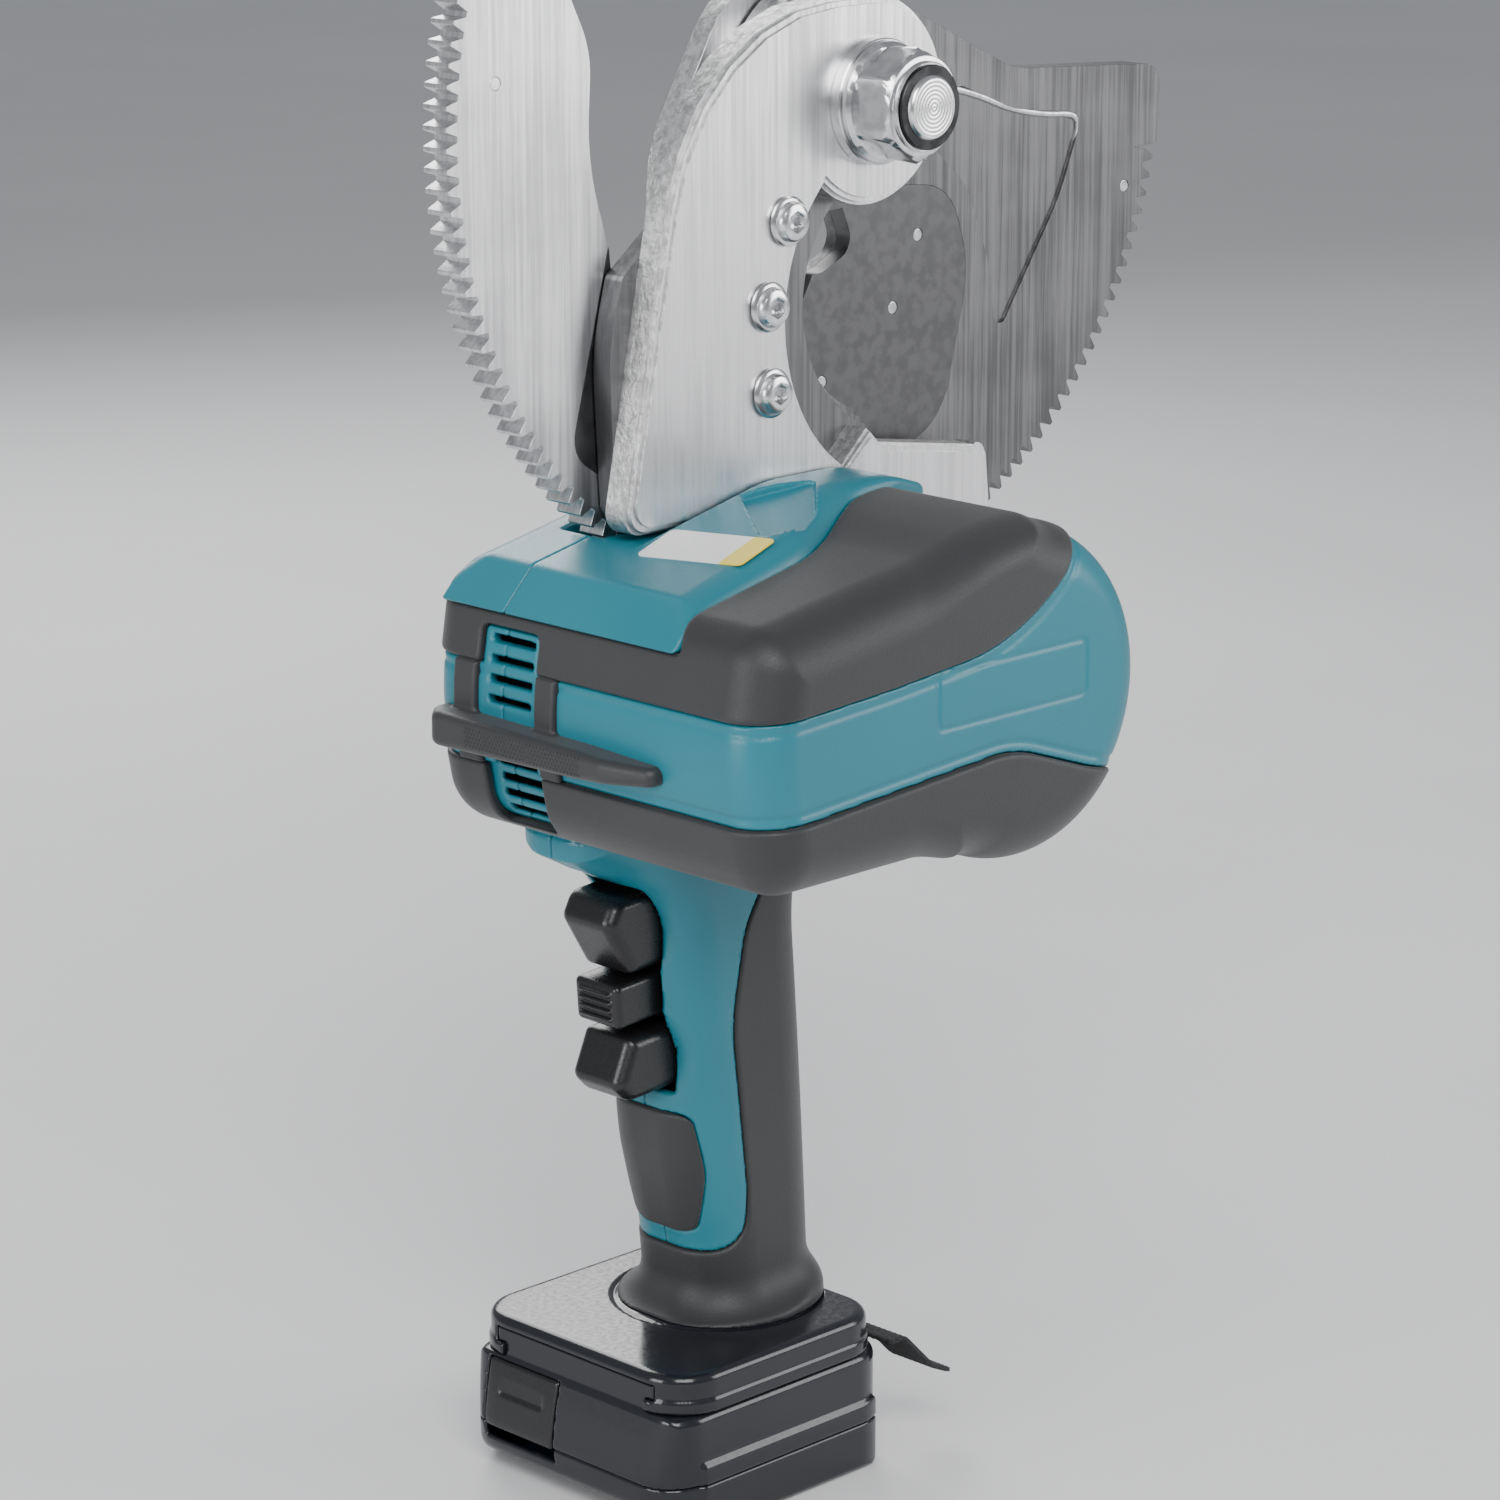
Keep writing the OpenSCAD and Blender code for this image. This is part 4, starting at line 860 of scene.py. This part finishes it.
def plate_mesh(name, loops, levels, side_from=1, side_to=None):
    """A plate from its outlines and its (Y, inset) levels, running towards +Y. The second material
    slot is the side wall."""
    bm = bmesh.new()
    side_to = len(levels) - 2 if side_to is None else side_to
    for points in loops:
        rows = []
        for y, inset in levels:
            ring = pulled_in(points, inset)
            rows.append([bm.verts.new((u * MM, y * MM, v * MM)) for u, v in ring])
        for k, (a, b) in enumerate(zip(rows, rows[1:])):
            for i in range(len(a)):
                j = (i + 1) % len(a)
                face = bm.faces.new((a[i], b[i], b[j], a[j]))
                face.material_index = 1 if side_from <= k <= side_to else 0
    for y in (levels[0][0], levels[-1][0]):
        edges = [e for e in bm.edges if len(e.link_faces) == 1 and all(abs(v.co.y - y * MM) < 1e-7 for v in e.verts)]
        bmesh.ops.triangle_fill(bm, edges=edges, use_beauty=True, use_dissolve=False)
    bmesh.ops.remove_doubles(bm, verts=bm.verts, dist=1e-6)
    bmesh.ops.recalc_face_normals(bm, faces=bm.faces)
    bmesh.ops.dissolve_limit(bm, angle_limit=math.radians(0.3), verts=[], edges=[
        e for e in bm.edges if len(e.link_faces) == 2 and abs(e.link_faces[0].normal.y) > 0.999])
    for face in bm.faces:
        face.smooth = True
    mesh = bpy.data.meshes.new(name)
    bm.to_mesh(mesh)
    bm.free()
    mesh.set_sharp_from_angle(angle=math.radians(32))
    return mesh


def repeated(name, base, places, body, finish, stands_for=(), slot=None, size=1.0):
    """The base mesh at each place, made by a node tree and turned into a plain mesh."""
    tree = bpy.data.node_groups.new(name, "GeometryNodeTree")
    sockets = {}
    for label, kind in (("Places", "NodeSocketGeometry"), ("Piece", "NodeSocketObject"),
                        ("Size", "NodeSocketFloat"), ("Finish", "NodeSocketMaterial")):
        sockets[label] = tree.interface.new_socket(label, in_out="INPUT", socket_type=kind)
    tree.interface.new_socket("Made", in_out="OUTPUT", socket_type="NodeSocketGeometry")
    start, end = tree.nodes.new("NodeGroupInput"), tree.nodes.new("NodeGroupOutput")
    info = tree.nodes.new("GeometryNodeObjectInfo")
    copies = tree.nodes.new("GeometryNodeInstanceOnPoints")
    real = tree.nodes.new("GeometryNodeRealizeInstances")
    paint = tree.nodes.new("GeometryNodeSetMaterial")
    for a, b in ((start.outputs["Piece"], info.inputs["Object"]), (start.outputs["Places"], copies.inputs["Points"]),
                 (info.outputs["Geometry"], copies.inputs["Instance"]), (start.outputs["Size"], copies.inputs["Scale"]),
                 (copies.outputs["Instances"], real.inputs["Geometry"]),
                 (real.outputs["Geometry"], paint.inputs["Geometry"]),
                 (start.outputs["Finish"], paint.inputs["Material"]),
                 (paint.outputs["Geometry"], end.inputs["Made"])):
        tree.links.new(a, b)
    piece = bpy.data.objects.new(name + "_base", base)
    bpy.context.scene.collection.objects.link(piece)
    points = bpy.data.meshes.new(name)
    points.from_pydata([[c * MM for c in p] for p in places], [], [])
    obj = place(name, points, body, finish, stands_for, slot)
    made = obj.modifiers.new("copies", "NODES")
    made.node_group = tree
    made[sockets["Piece"].identifier] = piece
    made[sockets["Size"].identifier] = size
    made[sockets["Finish"].identifier] = finish
    baked(obj)
    bpy.data.objects.remove(piece)
    return obj


# ---- Settings and operators --------------------------------------------------------------------

class CutterColours(bpy.types.PropertyGroup):
    teal: bpy.props.FloatVectorProperty(name="Body", description="Colour of the moulded body", subtype="COLOR",
                                        size=3, min=0, max=1, default=(0.012, 0.165, 0.220))
    charcoal: bpy.props.FloatVectorProperty(name="Rubber", description="Colour of the soft rubber parts",
                                            subtype="COLOR", size=3, min=0, max=1, default=(0.019, 0.0195, 0.0215))
    black: bpy.props.FloatVectorProperty(name="Triggers", description="Colour of the triggers and latch",
                                         subtype="COLOR", size=3, min=0, max=1, default=(0.008, 0.008, 0.009))
    gloss: bpy.props.FloatVectorProperty(name="Battery", description="Colour of the foot and battery",
                                         subtype="COLOR", size=3, min=0, max=1, default=(0.011, 0.012, 0.016))


class CutterSizes(bpy.types.PropertyGroup):
    net: bpy.props.FloatProperty(name="Net", description="Spacing of the surface net of the large pieces",
                                 default=0.0007, min=0.0004, max=0.003, subtype="DISTANCE", unit="LENGTH", precision=5)
    fine_net: bpy.props.FloatProperty(name="Fine net", description="Spacing of the surface net of the small pieces",
                                      default=0.0005, min=0.0003, max=0.002, subtype="DISTANCE", unit="LENGTH",
                                      precision=5)
    edge: bpy.props.FloatProperty(name="Steel edge", description="Width of the softened edges of steel pieces",
                                  default=0.0003, min=0.0001, max=0.001, subtype="DISTANCE", unit="LENGTH",
                                  precision=5)
    knurl: bpy.props.FloatProperty(name="Knurl", description="Spacing of the raised dots on the cross bar",
                                   default=0.00115, min=0.0008, max=0.003, subtype="DISTANCE", unit="LENGTH",
                                   precision=5)


FINISHES = {}


def finish(name):
    if not FINISHES:
        colours = bpy.context.scene.cutter_colours
        FINISHES.update(make_finishes({k: tuple(getattr(colours, k)) for k in ("teal", "charcoal", "black", "gloss")}))
    return FINISHES[name]


class Piece(bpy.types.Operator):
    """Builds one group of pieces."""
    bl_options = {"REGISTER", "UNDO"}

    def execute(self, context):
        sizes = context.scene.cutter_sizes
        self.build(sizes)
        return {"FINISHED"}


class CUTTER_OT_inside(Piece):
    """Gives every frame node its finish"""
    bl_idname = "cutter.inside"
    bl_label = "Inner parts"

    def build(self, sizes):
        for part in frame["record"]["subparts"]:
            node = frame["nodes"][part["node"]]
            node.data.materials.clear()
            node.data.materials.append(finish(SLOT_FINISH[part["material_slot"]]))


class CUTTER_OT_plates(Piece):
    """Frame plates and the fixed blade"""
    bl_idname = "cutter.plates"
    bl_label = "Frame plates"

    def build(self, sizes):
        for name, node in (("near_plate", "frame_plate_near"), ("far_plate", "frame_plate_far")):
            softened(name, node, "tool", finish("bright ground plate"), 1.1, "steel_plate",
                     finish("cast plate edge"))
        softened("fixed_jaw", "fixed_blade", "tool", finish("dark blade steel"), sizes.edge / MM, "blade_steel")


FIN_RIM = [(38.5, -1.2), (46.0, -2.6), (56.0, -5.6), (66.0, -9.4), (79.0, -11.9), (88.5, -12.4), (91.6, -14.6),
           (90.6, -20.0), (87.4, -28.0), (82.4, -39.0), (76.0, -49.0), (70.0, -57.5), (62.6, -65.0)]


def rim_mesh(path, y, r, sides=10):
    """Bead along a path on the near face of the hook plate, with round ends."""
    flat = np.array(path, float)
    for _ in range(3):
        flat = np.concatenate([flat[:1], np.stack([flat[:-1] * 0.75 + flat[1:] * 0.25,
                                                   flat[:-1] * 0.25 + flat[1:] * 0.75], 1).reshape(-1, 2), flat[-1:]])
    ahead = np.gradient(flat, axis=0)
    ahead /= np.linalg.norm(ahead, axis=1, keepdims=True)
    rows = []
    ends = [math.sin(t * math.pi / 8) for t in range(1, 4)]
    sizes = [*ends, *np.ones(len(flat)), *ends[::-1]]
    spots = [flat[0] + ahead[0] * -r * math.cos(t * math.pi / 8) for t in range(1, 4)]
    spots += list(flat)
    spots += [flat[-1] + ahead[-1] * r * math.cos(t * math.pi / 8) for t in range(3, 0, -1)]
    turns = [*[ahead[0]] * 3, *ahead, *[ahead[-1]] * 3]
    for spot, turn, size in zip(spots, turns, sizes):
        side = np.array([-turn[1], turn[0]])
        for k in range(sides):
            a = 2 * math.pi * k / sides
            u, v = np.array(PIVOT) + spot + side * r * size * math.cos(a)
            rows.append((u, y - r * size * math.sin(a), v))
    points = np.array(rows)
    faces = []
    for i in range(len(spots) - 1):
        for k in range(sides):
            j = (k + 1) % sides
            faces.append((i * sides + k, i * sides + j, (i + 1) * sides + j, (i + 1) * sides + k))
    mesh = mesh_from("fin_rim", points, faces)
    bm = bmesh.new()
    bm.from_mesh(mesh)
    bmesh.ops.holes_fill(bm, edges=bm.edges, sides=0)
    bmesh.ops.recalc_face_normals(bm, faces=bm.faces)
    bm.to_mesh(mesh)
    bm.free()
    return mesh


class CUTTER_OT_hook(Piece):
    """Toothed hook plate with its blade insert and pins"""
    bl_idname = "cutter.hook"
    bl_label = "Hook blade"

    def build(self, sizes):
        softened("hook_plate", "sector_gear", "hook_blade", finish("hook plate steel"), sizes.edge * 0.8 / MM,
                 "steel_plate")
        softened("hook_insert", "movable_blade", "hook_blade", finish("smooth insert steel"), sizes.edge / MM,
                 "blade_steel")
        place("fin_rim", rim_mesh(FIN_RIM, 0.41, 0.95), "hook_blade", finish("bright ground plate"),
              slot="steel_plate")
        for name, node in (("insert_pins", "blade_pins"), ("marker_pins", "stop_pins")):
            softened(name, node, "hook_blade", finish("plated steel"), 0.25, "hardware")


class CUTTER_OT_fasteners(Piece):
    """Pivot bolt, nut and the screws of the cutting head"""
    bl_idname = "cutter.fasteners"
    bl_label = "Fasteners"

    def build(self, sizes):
        screw = [(-8.0, 0.001), (-8.0, 2.6), (-15.2, 2.6), (-15.2, 5.7), (-15.5, 6.0), (-15.9, 6.0), (-16.25, 5.6),
                 (-16.4, 4.9), (-17.5, 4.75), (-18.3, 4.2), (-18.6, 3.4), (-18.6, 9, 4.5), (-18.35, 9, 4.1),
                 (-16.7, 9, 4.0), (-16.3, 0.001)]
        base = turned_mesh("blade_screw", screw[::-1] if screw[0][0] < screw[-1][0] else screw, 48)
        places = [(PIVOT[0] + u, 0, PIVOT[1] + v) for u, v in ((-29.5, -25.7), (-36, -45.3), (-35, -66))]
        repeated("blade_screws_made", base, places, "tool", finish("plated steel"), ("blade_screws",), "hardware")
        nut = [(-18.0, 8.2), (-18.0, 14.0), (-18.6, 14.6), (-19.4, 14.4), (-20.2, 13.4), (-20.3, 13.3, 24),
               (-29.0, 13.85, 24), (-30.2, 12.9, 24), (-31.0, 11.9, 24), (-31.0, 11.4), (-31.2, 10.8), (-32.4, 10.7),
               (-32.6, 10.4), (-32.6, 8.2)]
        place("pivot_nut_made", turned_mesh("pivot_nut_made", nut, 96, PIVOT), "tool", finish("plated steel"),
              ("pivot_nut",), "hardware")
        washer = [(-15.0, 8.2), (-15.0, 14.9), (-15.2, 15.1), (-17.7, 15.1), (-18.0, 14.8), (-18.0, 8.2)]
        place("pivot_washer_made", turned_mesh("pivot_washer_made", washer, 96, PIVOT), "tool",
              finish("plated steel"), ("pivot_washer",), "hardware")
        ring = [(-32.7, 8.1), (-32.7, 9.9), (-32.9, 10.1), (-33.3, 10.1), (-33.5, 9.9), (-33.5, 8.1)]
        place("retaining_ring_made", turned_mesh("retaining_ring_made", ring, 96, PIVOT), "tool",
              finish("blackened steel"), ("retaining_ring",), "dark_ring")
        bolt = [(25.3, 0.001), (25.3, 11.2, 24), (24.9, 12.4, 24), (23.6, 13.7, 24), (16.2, 13.85, 24), (16.1, 13.4),
                (15.9, 14.9), (15.3, 15.1), (14.4, 15.0), (14.35, 8.0), (-33.2, 8.0), (-34.0, 7.7), (-34.6, 7.0),
                (-34.6, 0.001)]
        place("pivot_bolt_made", turned_mesh("pivot_bolt_made", bolt, 96, PIVOT), "tool",
              finish("turned pin face"), ("pivot_bolt",), "hardware")


class CUTTER_OT_body(Piece):
    """Two halves of the moulded body and handle"""
    bl_idname = "cutter.body"
    bl_label = "Body halves"

    def build(self, sizes):
        pitch = sizes.net / MM
        for name, node, low, high, sign in (("body_right", "housing_right", (-60, -86, 42), (77, 0, 246), 1),
                                            ("body_left", "housing_left", (-60, 0, 42), (77, 29, 246), -1)):
            def half(x, y, z, sign=sign, left=sign < 0):
                made = teal_shape(x, y, z)
                if left:
                    for p in SCREW_PLACES:
                        made = np.maximum(made, -np.maximum(disc(x, z, p, 3.9), 23.5 - y))
                return meet(made, sign * y + 0.06, 0.35)
            moulded(name, half, low, high, pitch, "tool", finish("teal moulding"), (node,), "teal_plastic")


SCREW_PLACES = [(-44, 202), (-10, 203), (60, 227), (64, 192)]


class CUTTER_OT_cover(Piece):
    """Raised top cover and its blank label"""
    bl_idname = "cutter.cover"
    bl_label = "Top cover"

    def build(self, sizes):
        pitch = sizes.fine_net * 1.2 / MM
        for name, node, low, high, sign in (
                ("cover_right", "top_cover_right", (-58, -60, 222), (64, 0, 251), 1),
                ("cover_left", "top_cover_left", (-58, 0, 222), (64, 24, 251), -1)):
            def half(x, y, z, sign=sign):
                made = cover_solid(x, y, z)
                if sign > 0:
                    made = np.maximum(made, -lamp_recess(x, y, z))
                return meet(made, sign * y + 0.06, 0.35)
            moulded(name, half, low, high, pitch, "tool", finish("teal moulding"), (node,), "teal_plastic")
        place("label", label_mesh(), "tool", finish("blank label"), ("blank_label",), "label_white")


RECESS = rounded([(4, -17, 1.5), (22, -24, 1.5), (1, -45, 1.5), (-13, -41, 1.5)], 5)


def lamp_recess(x, y, z):
    floor = z - (246.6 + 0.18 * (x - 10) + 0.02 * (y + 30))
    return np.maximum(poly(x, y, RECESS), -floor * 0.95)


def label_mesh():
    """Thin label on the sloping cover, with its length on the first UV axis."""
    slope = math.atan2(10.0, 44.5)
    outline = rounded([(-7.6, -14.6, 1.5), (7.6, -14.6, 1.5), (7.6, 14.6, 1.5), (-7.6, 14.6, 1.5)], 6)
    turn = math.radians(11)
    bm = bmesh.new()
    uv = bm.loops.layers.uv.new("label")
    rows = []
    for h in (0.02, 0.34, 0.42):
        grow = 1.0 if h < 0.4 else 0.995
        row = []
        for u, v in outline * grow:
            a = u * math.cos(turn) - v * math.sin(turn) + 8.6
            b = u * math.sin(turn) + v * math.cos(turn) - 33.0
            x = -31.5 + a * math.cos(slope) - h * math.sin(slope)
            z = 239.5 + a * math.sin(slope) + h * math.cos(slope)
            row.append(bm.verts.new((x * MM, b * MM, z * MM)))
        rows.append(row)
    n = len(outline)
    for a, b in zip(rows, rows[1:]):
        for i in range(n):
            bm.faces.new((a[i], a[(i + 1) % n], b[(i + 1) % n], b[i]))
    bm.faces.new(rows[-1])
    bm.faces.new(rows[0][::-1])
    where = {v: outline[i % n] for i, v in enumerate(bm.verts)}
    for face in bm.faces:
        for loop in face.loops:
            u, v = where[loop.vert]
            loop[uv].uv = ((-v + 14.6) / 29.2, (u + 7.6) / 15.2)
    bmesh.ops.recalc_face_normals(bm, faces=bm.faces)
    mesh = bpy.data.meshes.new("label")
    bm.to_mesh(mesh)
    bm.free()
    return mesh


class CUTTER_OT_rubber(Piece):
    """Soft rubber bands, the front cross bar and the handle grips"""
    bl_idname = "cutter.rubber"
    bl_label = "Rubber parts"

    def build(self, sizes):
        pitch, fine = sizes.net / MM, sizes.fine_net / MM
        rubber = finish("charcoal rubber")

        def upper(x, y, z):
            return band_shape(x, y, z, poly(x, z, UPPER_EDGE))

        def lower(x, y, z):
            return band_shape(x, y, z, poly(x, z, LOWER_EDGE))

        moulded("upper_band", upper, (-60, -86, 205), (72, 29, 247), pitch * 0.9, "tool", rubber, ("band_upper",),
                "charcoal_rubber")
        moulded("lower_band", lower, (-60, -86, 160), (78, 29, 200), pitch * 0.9, "tool", rubber, ("band_lower",),
                "charcoal_rubber")
        moulded("cross_bar", bar_shape, (-66, -56, 182), (-46, 23, 226), fine, "tool", rubber, ("front_bumper",),
                "charcoal_rubber")
        moulded("grip_back", grip_shape, (-22, -28, 38), (46, 28, 172), pitch * 0.9, "tool", rubber, ("grip_rear",),
                "charcoal_rubber")
        moulded("grip_front", pad_shape, (-20, -22, 56), (10, 22, 104), fine, "tool", rubber, ("grip_front_pad",),
                "charcoal_rubber")
        dot = turned_mesh("dot", [(0.35, 0.36), (0.12, 0.30), (0.0, 0.14)], 8)
        dot.transform(Matrix.Rotation(math.radians(90), 4, "Z"))
        dot.transform(Matrix.Scale(-1, 4, (1, 0, 0)))
        dot.flip_normals()
        step = sizes.knurl / MM
        places = [(-64.45, -33 + step * (i + 0.5 * (j % 2)), 197.0 + step * 0.87 * (j - 2))
                  for i in range(int(40 / step)) for j in range(5)]
        repeated("knurl_dots", dot, places, "tool", rubber, slot="charcoal_rubber")


class CUTTER_OT_triggers(Piece):
    """Two triggers and the lock button"""
    bl_idname = "cutter.triggers"
    bl_label = "Triggers"

    def build(self, sizes):
        fine = sizes.fine_net / MM
        black = finish("black moulding")
        moulded("trigger_top", trigger_shape(UPPER_TRIGGER, ((-54, 92.5), 20.0)), (-40, -12, 130), (6, 12, 160), fine,
                "trigger_upper", black, ("upper_trigger",), "black_plastic")
        moulded("trigger_low", trigger_shape(LOWER_TRIGGER, ((-54, 86), 20.0)), (-40, -12, 98), (6, 12, 124), fine,
                "trigger_lower", black, ("lower_trigger",), "black_plastic")
        moulded("lock_made", lock_shape, (-36, -10, 117), (6, 10, 137), fine, "lock", black, ("lock_button",),
                "black_plastic")


class CUTTER_OT_battery(Piece):
    """Foot, battery and latch"""
    bl_idname = "cutter.battery"
    bl_label = "Foot and battery"

    def build(self, sizes):
        pitch, fine = sizes.net * 0.9 / MM, sizes.fine_net / MM
        gloss = finish("black gloss")
        moulded("foot", foot_shape, (-39, -39, 29), (37, 39, 41), pitch, "tool", gloss, ("foot_shell",), "black_gloss")
        moulded("battery_top", battery_upper, (-43, -40, 11), (39, 40, 38), pitch, "battery", gloss,
                ("battery_upper_shell",), "black_gloss")
        moulded("battery_base", battery_lower, (-43, -40, -1), (39, 40, 13), pitch, "battery", gloss,
                ("battery_lower_shell",), "black_gloss")
        moulded("latch_made", latch_shape, (-43, 3, 10), (-28, 31, 30), fine, "latch", finish("black moulding"),
                ("battery_latch",), "black_plastic")


class CUTTER_OT_strap(Piece):
    """Woven tab behind the foot"""
    bl_idname = "cutter.strap"
    bl_label = "Strap tab"

    def build(self, sizes):
        path = rounded([(35.1, 30.8, 0), (40, 30.9, 3), (50.5, 20.3, 5), (59.2, 16.2, 0)], 8)
        along = np.concatenate([[0], np.cumsum(np.linalg.norm(np.diff(path, axis=0), axis=1))])
        cuts = np.linspace(0, along[-1], 46)
        xs, zs = np.interp(cuts, along, path[:, 0]), np.interp(cuts, along, path[:, 1])
        bm = bmesh.new()
        uv = bm.loops.layers.uv.new("weave")
        rows, across = [], np.linspace(-1, 1, 17)
        for s, x, z in zip(cuts, xs, zs):
            half = 7.3 - 2.2 * max(0.0, 1 - (along[-1] - s) / 3.5)
            rows.append([bm.verts.new((x * MM, (-31.5 + half * t) * MM,
                                       (z + 0.10 * math.cos(t * 8 * math.pi)) * MM)) for t in across])
        for i in range(len(rows) - 1):
            for j in range(len(across) - 1):
                face = bm.faces.new((rows[i][j], rows[i + 1][j], rows[i + 1][j + 1], rows[i][j + 1]))
                face.smooth = True
                for loop, (a, b) in zip(face.loops, ((i, j), (i + 1, j), (i + 1, j + 1), (i, j + 1))):
                    loop[uv].uv = (cuts[a] / 15, (across[b] + 1) / 2)
        mesh = bpy.data.meshes.new("strap")
        bm.to_mesh(mesh)
        bm.free()
        obj = place("strap", mesh, "tool", finish("woven strap"), ("strap_tab",), "woven_black")
        thick = obj.modifiers.new("thick", "SOLIDIFY")
        thick.thickness, thick.offset = 1.1 * MM, 0
        baked(obj)


class CUTTER_OT_stage(Piece):
    """Floor, lights and camera"""
    bl_idname = "cutter.stage"
    bl_label = "Stage"

    def build(self, sizes):
        scene = bpy.context.scene
        bm = bmesh.new()
        bmesh.ops.create_grid(bm, x_segments=1, y_segments=1, size=12)
        mesh = bpy.data.meshes.new("floor")
        bm.to_mesh(mesh)
        bm.free()
        mesh.materials.append(finish("pale floor"))
        floor = bpy.data.objects.new("floor", mesh)
        floor.location.z = -0.0005
        scene.collection.objects.link(floor)
        world = bpy.data.worlds.new("studio")
        world.use_nodes = True
        world.node_tree.nodes["Background"].inputs["Color"].default_value = (0.80, 0.83, 0.87, 1)
        world.node_tree.nodes["Background"].inputs["Strength"].default_value = 0.42
        scene.world = world
        target = Vector((0.02, -0.02, 0.2))
        for name, at, size, power in (("key", (-0.75, -1.0, 1.15), 0.9, 22), ("side", (0.95, -0.95, 0.55), 0.7, 9),
                                      ("front", (-1.3, 0.15, 0.45), 0.6, 9), ("rim", (0.6, 1.1, 0.9), 0.8, 12)):
            light = bpy.data.lights.new(name, "AREA")
            light.size, light.energy = size, power
            obj = bpy.data.objects.new(name, light)
            obj.location = at
            obj.rotation_euler = (target - Vector(at)).to_track_quat("-Z", "Y").to_euler()
            scene.collection.objects.link(obj)
        camera = bpy.data.objects.new("camera", bpy.data.cameras.new("camera"))
        camera.data.lens, camera.data.sensor_width = 115.5, 36
        camera.data.clip_start, camera.data.clip_end = 0.01, 50
        camera.location = (-0.7811, -0.8053, 0.4813)
        camera.rotation_euler = Vector((0.68333, 0.68333, -0.25713)).to_track_quat("-Z", "Y").to_euler()
        scene.collection.objects.link(camera)
        scene.camera = camera


class CUTTER_PT_panel(bpy.types.Panel):
    """Lists the pieces of the cutter"""
    bl_idname = "CUTTER_PT_panel"
    bl_label = "Cable cutter"
    bl_space_type = "VIEW_3D"
    bl_region_type = "UI"
    bl_category = "Cutter"

    def draw(self, context):
        for group in (context.scene.cutter_sizes, context.scene.cutter_colours):
            for key in group.__annotations__:
                self.layout.prop(group, key)
        for step in STEPS:
            self.layout.operator(step.bl_idname)


STEPS = (CUTTER_OT_inside, CUTTER_OT_plates, CUTTER_OT_hook, CUTTER_OT_fasteners, CUTTER_OT_body, CUTTER_OT_cover,
         CUTTER_OT_rubber, CUTTER_OT_triggers, CUTTER_OT_battery, CUTTER_OT_strap, CUTTER_OT_stage)
CLASSES = (CutterColours, CutterSizes, *STEPS, CUTTER_PT_panel)


def register():
    for item in CLASSES:
        bpy.utils.register_class(item)
    bpy.types.Scene.cutter_colours = bpy.props.PointerProperty(type=CutterColours)
    bpy.types.Scene.cutter_sizes = bpy.props.PointerProperty(type=CutterSizes)


def unregister():
    del bpy.types.Scene.cutter_sizes, bpy.types.Scene.cutter_colours
    for item in reversed(CLASSES):
        bpy.utils.unregister_class(item)


def main():
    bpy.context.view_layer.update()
    register()
    for step in STEPS:
        family, name = step.bl_idname.split(".")
        getattr(getattr(bpy.ops, family), name)()


if __name__ == "__main__":
    main()
